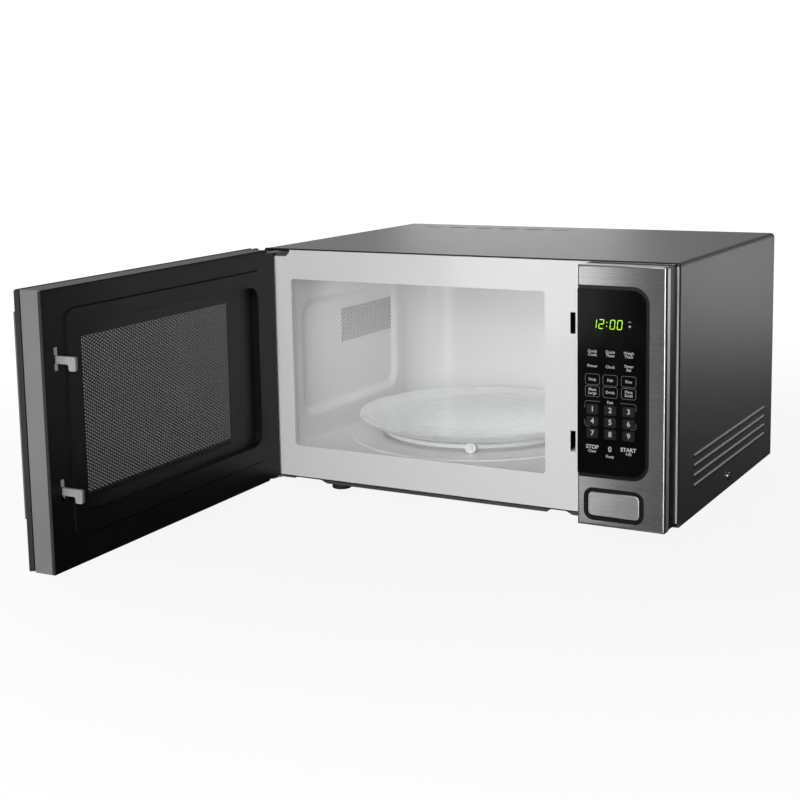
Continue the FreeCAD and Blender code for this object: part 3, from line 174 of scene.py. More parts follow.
def zinc(name):
    """Galvanised sheet with its spangle of flat crystals."""
    material, tree, shader = new_material(name, Metallic=0.7)
    at = spread(tree, (9.0,) * 3)
    bent = add(tree, "TexNoise", {"Vector": at, "Scale": 2.0, "Detail": 2.0})
    crystals = add(tree, "TexVoronoi", {"Vector": bent.outputs["Color"], "Scale": 9.0})
    shade = add(tree, "SeparateColor", {"Color": crystals.outputs["Color"]}).outputs[0]
    fine = noise(tree, (0.5,) * 3)
    links = tree.links
    links.new(tones(tree, shade, grey(0.42, -0.02), grey(0.62, -0.02), 0.1, 0.9), shader.inputs["Base Color"])
    links.new(between(tree, shade, 0.3, 0.5, 0.0, 1.0), shader.inputs["Roughness"])
    links.new(relief(tree, fine, 0.01), shader.inputs["Normal"])
    return material


def wound(name, colours, run, pitch_mm, metal, rough):
    """Fine parallel turns of wire or stacked laminations, repeated along an axis."""
    material, tree, shader = new_material(name, Metallic=metal)
    at = spread(tree, (pitch_mm * math.tau,) * 3)
    wave = add(
        tree,
        "TexWave",
        {"Vector": at, "Scale": 1.0, "Distortion": 0.15, "Detail": 1.0},
        wave_type="BANDS",
        bands_direction="XYZ"[run],
    ).outputs["Fac"]
    dirt = noise(tree, (7.0,) * 3, 4.0)
    blend = mix(tree, 0.4, wave, dirt)
    links = tree.links
    links.new(tones(tree, blend, *colours, 0.15, 0.85), shader.inputs["Base Color"])
    links.new(between(tree, dirt, rough * 0.8, rough * 1.2), shader.inputs["Roughness"])
    links.new(relief(tree, wave, pitch_mm * 0.3), shader.inputs["Normal"])
    return material


def clear(name, colour, rough=0.04):
    """Clear pressed glass: seen through where it faces the eye, milky where it is seen edge on."""
    material, tree, shader = new_material(name, IOR=1.48, Specular_IOR_Level=0.6)
    ripple = noise(tree, (14.0,) * 3, 1.0)
    smear = noise(tree, (40.0,) * 3, 3.0)
    edge = add(tree, "LayerWeight", {"Blend": 0.45}).outputs["Facing"]
    links = tree.links
    links.new(tones(tree, smear, scale_colour(colour, 0.98), colour), shader.inputs["Base Color"])
    links.new(between(tree, edge, 0.14, 0.74, 0.1, 0.95), shader.inputs["Alpha"])
    links.new(relief(tree, ripple, 0.008), shader.inputs["Normal"])
    links.new(between(tree, smear, rough, rough * 3), shader.inputs["Roughness"])
    return material


def tinted(name, colour, rough, opacity, specular=0.5):
    """Dark glass or gloss that lets a little light through."""
    material, tree, shader = new_material(name, Alpha=opacity, Specular_IOR_Level=specular)
    smear = noise(tree, (30.0, 30.0, 45.0), 4.0)
    fine = noise(tree, (1.2,) * 3)
    links = tree.links
    dark, light = scale_colour(colour, 0.8), scale_colour(colour, 1.3)
    links.new(tones(tree, smear, dark, light), shader.inputs["Base Color"])
    links.new(between(tree, smear, rough * 0.8, rough * 1.8), shader.inputs["Roughness"])
    links.new(relief(tree, fine, 0.002), shader.inputs["Normal"])
    return material


def glowing(name, colour, strength):
    """Lit display segments, a little uneven as real ones are."""
    material, tree, shader = new_material(name, Roughness=0.4, Emission_Strength=strength)
    uneven = noise(tree, (2.5,) * 3)
    lit = tones(tree, uneven, scale_colour(colour, 0.8), colour)
    tree.links.new(lit, shader.inputs["Emission Color"])
    tree.links.new(lit, shader.inputs["Base Color"])
    return material


def circuit(name):
    """Green board with copper traces under its lacquer."""
    material, tree, shader = new_material(name, Specular_IOR_Level=0.5)
    at = spread(tree, (6.0,) * 3)
    cells = add(tree, "TexVoronoi", {"Vector": at, "Scale": 1.0}, distance="MANHATTAN", feature="F1")
    ring = cells.outputs["Distance"]
    links = tree.links
    trace, board = (0.03, 0.2, 0.08), (0.01, 0.09, 0.04)
    links.new(tones(tree, ring, trace, board, 0.35, 0.4), shader.inputs["Base Color"])
    links.new(between(tree, ring, 0.25, 0.4), shader.inputs["Roughness"])
    links.new(relief(tree, ring, 0.05), shader.inputs["Normal"])
    return material


# ---------------------------------------------------------------- finishes, by the record's slot

FINISHES = {
    "wrap_paint": finish_of("wrap_paint", grey(0.3, -0.01), 0.42, 0.5, 0.01, 0.05, 20, metal=0.92),
    "galvanised": zinc("galvanised"),
    "enamel": finish_of("enamel", grey(0.72), 0.34, 0.8, 0.005, 0.012, 260, coat=0.2),
    "brushed": brushed_metal("brushed", grey(0.56, 0.01), 0),
    "black_gloss": tinted("black_gloss", grey(0.003), 0.1, 1.0, 0.05),
    "black_glass": tinted("black_glass", grey(0.006), 0.05, 0.6),
    "dark_plastic": finish_of("dark_plastic", grey(0.009), 0.32, 0.5, 0.015, 0.2, specular=0.18),
    "grey_plastic": finish_of("grey_plastic", grey(0.15), 0.5, 0.6, 0.02, 0.12, specular=0.4),
    "door_black": finish_of("door_black", grey(0.006), 0.34, 0.45, 0.008, 0.2, specular=0.2),
    "screen_steel": finish_of("screen_steel", grey(0.012), 0.45, 0.4, 0.006, 0.2, specular=0.3),
    "clear_glass": clear("clear_glass", (0.90, 0.93, 0.925)),
    "white_plastic": finish_of("white_plastic", grey(0.7, 0.01), 0.42, 0.7, 0.015, 0.05),
    "hook_plastic": finish_of("hook_plastic", grey(0.25), 0.45, 0.5, 0.02, 0.12),
    "rubber": finish_of("rubber", grey(0.012), 0.75, 0.7, 0.05, 0.3),
    "steel": brushed_metal("steel", grey(0.4), 2, 0.36, 0.2),
    "core_iron": wound("core_iron", (grey(0.06, 0.08), grey(0.16, 0.1)), 1, 0.6, 0.6, 0.55),
    "copper": wound("copper", ((0.32, 0.1, 0.04), (0.7, 0.3, 0.13)), 0, 0.9, 0.9, 0.35),
    "mica": finish_of("mica", (0.36, 0.29, 0.2), 0.5, 1.5, 0.03, 0.25, 12),
    "board_green": circuit("board_green"),
}
DOOR_BRUSHED = brushed_metal("door_brushed", grey(0.56, 0.01), 1, turn=0.0)
SCREW_STEEL = brushed_metal("screw_steel", grey(0.9), 2, 0.22, 0.1)
BUTTON_BRUSHED = brushed_metal("button_brushed", grey(0.86), 0, rough=0.36)
LEGEND_WHITE = finish_of("legend_white", grey(0.5), 0.5, 0.4, 0.004, 0.12, 8)
LEGEND_GREY = finish_of("legend_grey", grey(0.16), 0.5, 0.4, 0.004, 0.12, 8)
KEY_FACE = finish_of("key_face", grey(0.006), 0.28, 0.4, 0.006, 0.2, 8, specular=0.3)
DIGIT_GREEN = glowing("digit_green", (0.33, 0.66, 0.02), 0.95)


def dress(item, material):
    """Gives an object one material."""
    item.data.materials.clear()
    item.data.materials.append(material)


for row in frame["record"]["subparts"]:
    dress(NODES[row["node"]], FINISHES[row["material_slot"]])
dress(NODES["door_skin"], DOOR_BRUSHED)
dress(NODES["release_button"], BUTTON_BRUSHED)
for side in ("right", "left"):
    dress(NODES["wrap_screw_" + side], SCREW_STEEL)


# ---------------------------------------------------------------- mesh helpers


def piece(name, mesh, material, body, smooth=False):
    """A finished mesh as an object that rides on a CAD body."""
    if isinstance(mesh, bmesh.types.BMesh):
        built = bpy.data.meshes.new(name)
        mesh.to_mesh(built)
        mesh.free()
        mesh = built
    item = bpy.data.objects.new(name, mesh)
    bpy.context.scene.collection.objects.link(item)
    dress(item, material)
    for face in mesh.polygons:
        face.use_smooth = smooth
    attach(item, body)
    return item


def prism(mesh, outline, depth, place, hole=None):
    """Adds a flat shape drawn in its own X-Z plane; a hole has as many points as the outline."""
    rings = []
    for points in (outline, hole) if hole else (outline,):
        for level in (0.0, depth):
            rings.append([mesh.verts.new(place @ Vector((x, level, z))) for x, z in points])
    count = len(outline)
    for n in range(count):
        m = (n + 1) % count
        mesh.faces.new((rings[0][n], rings[0][m], rings[1][m], rings[1][n]))
        if hole:
            mesh.faces.new((rings[2][m], rings[2][n], rings[3][n], rings[3][m]))
            mesh.faces.new((rings[0][m], rings[0][n], rings[2][n], rings[2][m]))
            mesh.faces.new((rings[1][n], rings[1][m], rings[3][m], rings[3][n]))
    if not hole:
        mesh.faces.new(list(reversed(rings[0])))
        mesh.faces.new(rings[1])


def rounded(x, z, radius, steps=6):
    """Outline of a rounded rectangle between the limits x and z, in order."""
    points = []
    corners = ((x[1], z[1], 0), (x[0], z[1], 90), (x[0], z[0], 180), (x[1], z[0], 270))
    for cx, cz, start in corners:
        middle_x = cx - radius * math.copysign(1, cx - (x[0] + x[1]) / 2)
        middle_z = cz - radius * math.copysign(1, cz - (z[0] + z[1]) / 2)
        for n in range(steps + 1):
            angle = math.radians(start + 90 * n / steps)
            points.append((middle_x + radius * math.cos(angle), middle_z + radius * math.sin(angle)))
    return points


def oblong(x, z):
    """Outline of a rectangle between the limits x and z."""
    return [(x[0], z[0]), (x[1], z[0]), (x[1], z[1]), (x[0], z[1])]


def limits(middle, half):
    """The values at half on each side of a middle."""
    return middle - half, middle + half


def disc(cx, cz, radius, steps=16):
    """Outline of a circle."""
    angles = [math.tau * n / steps for n in range(steps)]
    return [(cx + radius * math.cos(a), cz + radius * math.sin(a)) for a in angles]


def lettering(mesh, text, x, z, size, place, bold=0.0):
    """Adds words, centred on x and z, as thin raised print."""
    curve = bpy.data.curves.new("words", "FONT")
    curve.body = text
    curve.size = size
    curve.align_x = "CENTER"
    curve.align_y = "CENTER"
    curve.extrude = PRINT_DEPTH / 2
    curve.offset = bold
    curve.resolution_u = 3
    holder = bpy.data.objects.new("words", curve)
    bpy.context.scene.collection.objects.link(holder)
    bpy.context.view_layer.update()
    made = bpy.data.meshes.new_from_object(holder.evaluated_get(bpy.context.evaluated_depsgraph_get()))
    upright = Matrix.Rotation(math.radians(90), 4, "X")
    made.transform(place @ Matrix.Translation((x, 0, z)) @ upright)
    mesh.from_mesh(made)
    bpy.data.objects.remove(holder)
    bpy.data.curves.remove(curve)
    bpy.data.meshes.remove(made)


# ---------------------------------------------------------------- control panel print

PRINT_DEPTH = 0.05 * MM
PANEL_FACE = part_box("keypad_membrane")[0].y
ON_PANEL = Matrix.Translation((0, PANEL_FACE - PRINT_DEPTH, 0))
COLUMNS = (165.0 * MM, 183.5 * MM, 202.6 * MM)
KEY_HALF = (7.6 * MM, 5.5 * MM)
WORDS = (
    (187.0, ("Quick\nCook", "Quick\nThaw", "Weigh\nThaw")),
    (174.0, ("Power", "Clock", "Timer\nSet")),
    (160.7, ("Soup", "Fish", "Rice")),
    (148.7, ("Meat\nLarge", "Drink", "Plate\nSmall")),
)
NUMBERS = ((130.7, "123"), (118.6, "456"), (106.5, "789"))
WORD_SIZE = 4.0 * MM
LINE_PITCH = 3.5 * MM
NUMBER_SIZE = 7.4 * MM
COMMAND_SIZE = 5.5 * MM
BOLD = 0.12 * MM
ZERO_Z, COMMAND_Z, BELOW_Z = 91.5 * MM, 92.6 * MM, 88.4 * MM
CAPTIONS = (("Fast", 138.7 * MM), ("Keep", 84.4 * MM))


def words_on(mesh, text, x, z, size, bold=0.0):
    """Words on one or two lines, centred on a key."""
    lines = text.split("\n")
    for n, line in enumerate(lines):
        lettering(mesh, line, x, z + LINE_PITCH * ((len(lines) - 1) / 2 - n), size, ON_PANEL, bold)


legends = bmesh.new()
for height, words in WORDS:
    for x, word in zip(COLUMNS, words):
        words_on(legends, word, x, height * MM, WORD_SIZE, BOLD / 3)
for height, digits in NUMBERS:
    for x, digit in zip(COLUMNS, digits):
        words_on(legends, digit, x, height * MM, NUMBER_SIZE, BOLD)
words_on(legends, "0", COLUMNS[1], ZERO_Z, NUMBER_SIZE, BOLD)
for x, command, below in ((COLUMNS[0], "STOP", "Clear"), (COLUMNS[2], "START", "+30")):
    words_on(legends, command, x, COMMAND_Z, COMMAND_SIZE, BOLD)
    words_on(legends, below, x, BELOW_Z, WORD_SIZE, BOLD / 3)
for caption, height in CAPTIONS:
    words_on(legends, caption, COLUMNS[1], height, WORD_SIZE, BOLD / 3)
piece("panel_legends", legends, LEGEND_WHITE, "cabinet")

# outlined keys, the frame round the digits and the faint raised digit keys
outlines = bmesh.new()
LINE = 0.35 * MM
KEY_ROUND = 2.2 * MM
for height, _ in WORDS[2:]:
    for x in COLUMNS:
        half_x, half_z = KEY_HALF
        z = height * MM
        outer = rounded(limits(x, half_x), limits(z, half_z), KEY_ROUND)
        inner = rounded(limits(x, half_x - LINE), limits(z, half_z - LINE), KEY_ROUND - LINE)
        prism(outlines, outer, PRINT_DEPTH, ON_PANEL, inner)
piece("key_outlines", outlines, LEGEND_GREY, "cabinet")

brackets = bmesh.new()


def strip(mesh, x, z, place):
    """A thin printed bar between two limits each way."""
    prism(mesh, oblong(x, z), PRINT_DEPTH, place)


FRAME_X = (157.0 * MM, 210.4 * MM)
FRAME_TOP, FRAME_LOW = 138.7 * MM, 113.0 * MM
FRAME_BEND, BEND_STEPS = 3.0 * MM, 6
CAPTION_HALF = 10.5 * MM
for side, inward in ((FRAME_X[0], 1), (FRAME_X[1], -1)):
    edge = sorted((side, side + inward * LINE))
    corner = side + inward * FRAME_BEND
    gap = COLUMNS[1] - inward * CAPTION_HALF
    strip(brackets, sorted((corner, gap)), (FRAME_TOP, FRAME_TOP + LINE), ON_PANEL)
    strip(brackets, edge, (FRAME_TOP - 7 * MM, FRAME_TOP - FRAME_BEND), ON_PANEL)
    strip(brackets, edge, (FRAME_LOW + FRAME_BEND, FRAME_LOW + 7 * MM), ON_PANEL)
    strip(brackets, sorted((corner, corner + inward * 2.5 * MM)), (FRAME_LOW, FRAME_LOW + LINE), ON_PANEL)
    for end, turn in ((FRAME_TOP + LINE, 1), (FRAME_LOW, -1)):
        arcs = []
        for radius in (FRAME_BEND, FRAME_BEND - LINE):
            arc = []
            for n in range(BEND_STEPS + 1):
                angle = math.radians(90 * n / BEND_STEPS)
                height = end + turn * (radius * math.sin(angle) - FRAME_BEND)
                arc.append((corner - inward * radius * math.cos(angle), height))
            arcs.append(arc)
        prism(brackets, arcs[0] + arcs[1][::-1], PRINT_DEPTH, ON_PANEL)
piece("digit_frame", brackets, LEGEND_GREY, "cabinet")

keys = bmesh.new()
KEY_RAISE = 0.03 * MM
DIGIT_KEY_HALF, DIGIT_KEY_ROUND = (6.2 * MM, 5.0 * MM), 1.8 * MM
ON_PAD = Matrix.Translation((0, PANEL_FACE - KEY_RAISE, 0))
for height, _ in NUMBERS:
    for x in COLUMNS:
        half_x, half_z = DIGIT_KEY_HALF
        shape = rounded(limits(x, half_x), limits(height * MM, half_z), DIGIT_KEY_ROUND)
        prism(keys, shape, KEY_RAISE, ON_PAD)
piece("digit_keys", keys, KEY_FACE, "cabinet")

# ---------------------------------------------------------------- display digits

SEGMENTS = {"0": "abcdef", "1": "bc", "2": "abged"}
DIGIT_W, DIGIT_H, BAR, SLANT = 5.4 * MM, 9.6 * MM, 0.85 * MM, 0.1
DIGIT_LOW = 211.3 * MM
DIGIT_LEFTS = (("1", 163.6), ("2", 171.0), ("0", 182.6), ("0", 190.0))
COLON_X, COLON_RADIUS = 179.3 * MM, 0.6 * MM
LAMP_X, LAMP_Z, LAMP_RADIUS = 203.4 * MM, 215.0 * MM, 1.1 * MM
LAMP_BAR_Z = (219.2 * MM, 219.7 * MM)


def segment(mesh, x0, z0, x1, z1, left):
    """One pointed bar of a digit, from point to point."""
    along = Vector((x1 - x0, z1 - z0))
    unit = along.normalized()
    side = Vector((-unit.y, unit.x)) * BAR / 2
    start = Vector((x0, z0)) + unit * BAR * 0.12
    stop = Vector((x1, z1)) - unit * BAR * 0.12
    run = unit * BAR / 2
    shape = [start, start + run - side, stop - run - side, stop, stop - run + side, start + run + side]
    leaned = [(left + p.x + p.y * SLANT, DIGIT_LOW + p.y) for p in shape]
    prism(mesh, leaned, PRINT_DEPTH, ON_PANEL)


glow = bmesh.new()
half, mid = BAR / 2, DIGIT_H / 2
ENDS = {
    "a": (half, DIGIT_H - half, DIGIT_W - half, DIGIT_H - half),
    "b": (DIGIT_W - half, mid, DIGIT_W - half, DIGIT_H - half),
    "c": (DIGIT_W - half, half, DIGIT_W - half, mid),
    "d": (half, half, DIGIT_W - half, half),
    "e": (half, half, half, mid),
    "f": (half, mid, half, DIGIT_H - half),
    "g": (half, mid, DIGIT_W - half, mid),
}
for digit, left in DIGIT_LEFTS:
    for letter in SEGMENTS[digit]:
        segment(glow, *ENDS[letter], left * MM)
for part in (0.3, 0.7):
    height = DIGIT_LOW + DIGIT_H * part
    prism(glow, disc(COLON_X + DIGIT_H * part * SLANT, height, COLON_RADIUS), PRINT_DEPTH, ON_PANEL)
piece("display_digits", glow, DIGIT_GREEN, "cabinet")

lamp = bmesh.new()
prism(lamp, disc(LAMP_X, LAMP_Z, LAMP_RADIUS), PRINT_DEPTH, ON_PANEL)
strip(lamp, limits(LAMP_X, 1.5 * MM), LAMP_BAR_Z, ON_PANEL)
piece("panel_indicator", lamp, LEGEND_WHITE, "cabinet")

# ---------------------------------------------------------------- the cavity's left wall, with its vent holes

WALL_LOW, WALL_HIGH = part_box("cavity_left_wall")
RECESS_DEPTH = 5.0 * MM
SHEET = 1.0 * MM
WALL_FACE = WALL_LOW.x + RECESS_DEPTH + SHEET
RECESS_Y = (WALL_LOW.y + 20.0 * MM, WALL_HIGH.y - 18.0 * MM)
RECESS_Z = (WALL_LOW.z + 28.5 * MM, WALL_HIGH.z - 29.0 * MM)
RECESS_RADIUS = 24.0 * MM
RECESS_SLOPE = 11.0 * MM
WALL_GRID = 3.0 * MM
VENT_Y, VENT_Z = (-54.0 * MM, 62.0 * MM), (152.0 * MM, 190.0 * MM)
VENT_COLUMNS, VENT_ROWS = 19, 9
VENT_HOLE = 1.65 * MM


def recess_depth(y, z):
    """How far the wall is pressed outwards at a point, softly rounded at the recess's edge."""
    half_y, half_z = (RECESS_Y[1] - RECESS_Y[0]) / 2, (RECESS_Z[1] - RECESS_Z[0]) / 2
    over_y = abs(y - sum(RECESS_Y) / 2) - (half_y - RECESS_RADIUS)
    over_z = abs(z - sum(RECESS_Z) / 2) - (half_z - RECESS_RADIUS)
    outside = math.hypot(max(over_y, 0.0), max(over_z, 0.0)) + min(max(over_y, over_z), 0.0) - RECESS_RADIUS
    part = min(max(-outside / RECESS_SLOPE, 0.0), 1.0)
    return RECESS_DEPTH * part * part * (3 - 2 * part)


def pressed_wall():
    """The cavity's left wall as one sheet with a soft-edged recess."""
    mesh = bmesh.new()
    columns = round((WALL_HIGH.y - WALL_LOW.y) / WALL_GRID)
    levels = round((WALL_HIGH.z - WALL_LOW.z) / WALL_GRID)
    faces = []
    for face in (WALL_FACE, WALL_FACE - SHEET):
        grid = []
        for c in range(columns + 1):
            y = WALL_LOW.y + (WALL_HIGH.y - WALL_LOW.y) * c / columns
            line = []
            for level in range(levels + 1):
                z = WALL_LOW.z + (WALL_HIGH.z - WALL_LOW.z) * level / levels
                line.append(mesh.verts.new((face - recess_depth(y, z), y, z)))
            grid.append(line)
        faces.append(grid)
    for side, grid in enumerate(faces):
        for c in range(columns):
            for level in range(levels):
                ring = [grid[c][level], grid[c + 1][level], grid[c + 1][level + 1], grid[c][level + 1]]
                mesh.faces.new(ring if side == 0 else ring[::-1])
    inner, outer = faces
    for c in range(columns):
        for level in (0, levels):
            mesh.faces.new((inner[c][level], outer[c][level], outer[c + 1][level], inner[c + 1][level]))
    for level in range(levels):
        for c in (0, columns):
            mesh.faces.new((inner[c][level], inner[c][level + 1], outer[c][level + 1], outer[c][level]))
    bmesh.ops.recalc_face_normals(mesh, faces=mesh.faces)
    return mesh


def drill(item, tool):
    """Cuts every solid of a mesh out of a piece."""
    bmesh.ops.recalc_face_normals(tool, faces=tool.faces)
    cutter_mesh = bpy.data.meshes.new(item.name + "_tool")
    tool.to_mesh(cutter_mesh)
    tool.free()
    cutter = bpy.data.objects.new(item.name + "_tool", cutter_mesh)
    bpy.context.scene.collection.objects.link(cutter)
    step = item.modifiers.new("holes", "BOOLEAN")
    step.operation = "DIFFERENCE"
    step.solver = "EXACT"
    step.object = cutter
    bpy.context.view_layer.update()
    made = bpy.data.meshes.new_from_object(item.evaluated_get(bpy.context.evaluated_depsgraph_get()))
    item.modifiers.clear()
    item.data = made
    bpy.data.objects.remove(cutter)


vent = bmesh.new()
through_wall = Matrix.Translation((WALL_LOW.x - MM, 0, 0)) @ Matrix.Rotation(math.radians(-90), 4, "Z")
pitch_y = (VENT_Y[1] - VENT_Y[0]) / (VENT_COLUMNS - 1)
pitch_z = (VENT_Z[1] - VENT_Z[0]) / (VENT_ROWS - 1)
for column in range(VENT_COLUMNS * 2 - 1):
    shifted = column % 2
    for level in range(VENT_ROWS - shifted):
        y = VENT_Y[0] + pitch_y * column / 2
        z = VENT_Z[0] + pitch_z * (level + shifted / 2)
        prism(vent, disc(-y, z, VENT_HOLE, 8), 12 * MM, through_wall)
wall = piece("vented_left_wall", pressed_wall(), FINISHES["enamel"], "cabinet")
drill(wall, vent)
for face in wall.data.polygons:
    face.use_smooth = True
wall.data.set_sharp_from_angle(angle=math.radians(35))
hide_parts("cavity_left_wall")

# ---------------------------------------------------------------- dark joints

JOINT_DEPTH = 0.35 * MM
SEAM_DEPTH = 1.4 * MM


def joint_strip(name, outline, depth, place, body, hole=None):
    """A thin dark strip where two parts of the casing meet."""
    mesh = bmesh.new()
    prism(mesh, outline, depth, place, hole)
    bmesh.ops.recalc_face_normals(mesh, faces=mesh.faces)
    piece(name, mesh, FINISHES["rubber"], body)


WRAP_LOW, WRAP_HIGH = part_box("outer_wrap")
SEAM = 1.3 * MM
seam_x = (WRAP_LOW.x + 0.9 * MM, WRAP_HIGH.x - 0.9 * MM)
seam_z = (WRAP_LOW.z + 3.0 * MM, WRAP_HIGH.z + 0.1 * MM)
inside_x = (seam_x[0] + SEAM, seam_x[1] - SEAM)
inside_z = (seam_z[0] + SEAM, seam_z[1] - SEAM)
joint_strip(
    "wrap_seam",
    rounded(seam_x, seam_z, 3.0 * MM),
    SEAM_DEPTH,
    Matrix.Translation((0, WRAP_LOW.y - 0.8 * MM, 0)),
    "cabinet",
    rounded(inside_x, inside_z, 1.5 * MM),
)

# a dark sheet under the slots at the back of the top: painted shade, so the slots look dark where the casing is
# only shaded inside
SLOT_LINE = WRAP_HIGH.y - 40.5 * MM
SLOT_SHADE_DEPTH = 16.0 * MM
slot_shade_x = (WRAP_LOW.x + 40.0 * MM, WRAP_LOW.x + 252.0 * MM)
slot_shade_z = (WRAP_HIGH.z - 3.0 * MM, WRAP_HIGH.z - 2.0 * MM)
slot_shade_sheet = bmesh.new()
prism(
    slot_shade_sheet,
    oblong(slot_shade_x, slot_shade_z),
    SLOT_SHADE_DEPTH,
    Matrix.Translation((0, SLOT_LINE - SLOT_SHADE_DEPTH / 2, 0)),
)
bmesh.ops.recalc_face_normals(slot_shade_sheet, faces=slot_shade_sheet.faces)
piece("vent_painted_shade", slot_shade_sheet, FINISHES["dark_plastic"], "cabinet")

# ---------------------------------------------------------------- perforated door screen

hinge = next(j for j in frame["joints"] if j["name"] == "door_hinge")
anchor = Vector(hinge["pos_m"])
closed = math.radians(hinge["range_deg"][0])
SWING = (
    Matrix.Translation(anchor)
    @ Matrix.Rotation(-closed, 4, Vector(hinge["axis"]))
    @ Matrix.Translation(-anchor)
)
DOOR_EDGE_X, DOOR_Z = 147.2 * MM, (13.0 * MM, 273.0 * MM)
ON_DOOR_EDGE = SWING @ Matrix.Translation((DOOR_EDGE_X, 0, 0)) @ Matrix.Rotation(math.radians(90), 4, "Z")
ON_DOOR_SIDE = ON_DOOR_EDGE @ Matrix.Translation((0, -JOINT_DEPTH, 0))
DOOR_SEAMS = (("door_seam_front", (-205.8 * MM, -199.8 * MM)), ("door_seam_back", (-178.6 * MM, -175.3 * MM)))
for name, seam_y in DOOR_SEAMS:
    joint_strip(name, oblong(seam_y, DOOR_Z), JOINT_DEPTH, ON_DOOR_SIDE, "door")

SCREEN_Y = -182.5 * MM
SCREEN_X, SCREEN_Z = (-214.0 * MM, 117.0 * MM), (30.5 * MM, 261.5 * MM)
DOTS_X, DOTS_Z = (-153.0 * MM, 97.0 * MM), (69.0 * MM, 226.0 * MM)
DOT_PITCH = 3.4 * MM
DOT_RADIUS = 1.08 * MM
CELL_RADIUS = DOT_PITCH / math.sqrt(3)
CELL_STEP = CELL_RADIUS * 1.5
SCREEN_COLUMNS = int((DOTS_X[1] - DOTS_X[0]) / CELL_STEP)
SCREEN_ROWS = int((DOTS_Z[1] - DOTS_Z[0]) / DOT_PITCH)
SCREEN_THICKNESS = 0.45 * MM
SAME_POINT = 0.1 * MM


def screen_mesh():
    """Thin sheet of six-sided cells, each with a hole where the window is."""
    mesh = bmesh.new()
    corners = {}

    def corner(x, z):
        """A cell's corner, shared with the cells beside it."""
        key = (round(x / SAME_POINT), round(z / SAME_POINT))
        if key not in corners:
            corners[key] = mesh.verts.new(SWING @ Vector((x, SCREEN_Y, z)))
        return corners[key]

    for column in range(SCREEN_COLUMNS):
        for level in range(SCREEN_ROWS):
            x = DOTS_X[0] + column * CELL_STEP
            z = DOTS_Z[0] + (level + column % 2 / 2) * DOT_PITCH
            rim, eye = [], []
            for n in range(6):
                angle = math.radians(60 * n)
                rim.append(corner(x + CELL_RADIUS * math.cos(angle), z + CELL_RADIUS * math.sin(angle)))
                inside = (x + DOT_RADIUS * math.cos(angle), SCREEN_Y, z + DOT_RADIUS * math.sin(angle))
                eye.append(mesh.verts.new(SWING @ Vector(inside)))
            for n in range(6):
                m = (n + 1) % 6
                mesh.faces.new((rim[n], rim[m], eye[m], eye[n]))
    return mesh


def screen_border():
    """Plain steel round the holes."""
    mesh = bmesh.new()
    last_x = DOTS_X[0] + (SCREEN_COLUMNS - 1) * CELL_STEP
    inner_x = (DOTS_X[0] - CELL_RADIUS / 2, last_x + CELL_RADIUS / 2)
    inner_z = (DOTS_Z[0], DOTS_Z[0] + (SCREEN_ROWS - 0.5) * DOT_PITCH)
    outer = rounded(SCREEN_X, SCREEN_Z, 10 * MM)
    inner = rounded(inner_x, inner_z, 0.3 * MM)
    prism(mesh, outer, SCREEN_THICKNESS, SWING @ Matrix.Translation((0, SCREEN_Y, 0)), inner)
    return mesh


piece("screen_dots", screen_mesh(), FINISHES["screen_steel"], "door")
border = piece("screen_border", screen_border(), FINISHES["screen_steel"], "door")
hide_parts("door_screen")

# ---------------------------------------------------------------- glass tray


def glass_tray():
    """Pressed glass turntable: rolled rim, stepped wall, raised rings on its floor and a well underneath."""
    low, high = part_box("glass_tray")
    centre = (low + high) / 2
    radius = (high.x - low.x) / 2
    base, rim = low.z, high.z
    profile = [
        (0.0, base + 1.4 * MM),
        (24 * MM, base + 1.4 * MM),
        (26 * MM, base),
        (radius - 15 * MM, base),
        (radius - 12.5 * MM, base + 1.2 * MM),
        (radius - 3.4 * MM, rim - 4.2 * MM),
        (radius - 0.9 * MM, rim - 3.3 * MM),
        (radius, rim - 2.0 * MM),
        (radius - 0.3 * MM, rim - 0.6 * MM),
        (radius - 1.6 * MM, rim),
        (radius - 3.6 * MM, rim - 0.5 * MM),
        (radius - 6.0 * MM, rim - 2.2 * MM),
        (radius - 14.5 * MM, base + 5.2 * MM),
        (radius - 18 * MM, base + 4 * MM),
    ]
    for ring in (104, 78, 52):
        profile += [
            ((ring + 1.6) * MM, base + 4 * MM),
            (ring * MM, base + 4.7 * MM),
            ((ring - 1.6) * MM, base + 4 * MM),
        ]
    profile += [(20 * MM, base + 4 * MM), (18 * MM, base + 3.4 * MM), (0.0, base + 3.4 * MM)]
    steps = 128
    full_turn = [math.tau * n / steps for n in range(steps)]
    mesh = bmesh.new()
    rings = []
    for r, z in profile:
        angles = full_turn if r else (0.0,)
        spots = [(centre.x + r * math.cos(a), centre.y + r * math.sin(a), z) for a in angles]
        rings.append([mesh.verts.new(spot) for spot in spots])
    for first, second in zip(rings, rings[1:]):
        for n in range(steps):
            m = (n + 1) % steps
            corners = [ring[k % len(ring)] for ring, k in ((first, n), (first, m), (second, m), (second, n))]
            mesh.faces.new(list(dict.fromkeys(corners)))
    bmesh.ops.recalc_face_normals(mesh, faces=mesh.faces)
    return mesh


tray = piece("pressed_tray", glass_tray(), FINISHES["clear_glass"], "tray", smooth=True)
soften = tray.modifiers.new("soften", "SUBSURF")
soften.levels = 1
soften.render_levels = 1
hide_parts("glass_tray")

# ---------------------------------------------------------------- floor, light and camera

FLOOR_SIZE = 30.0
FLOOR_DROP = 0.5 * MM


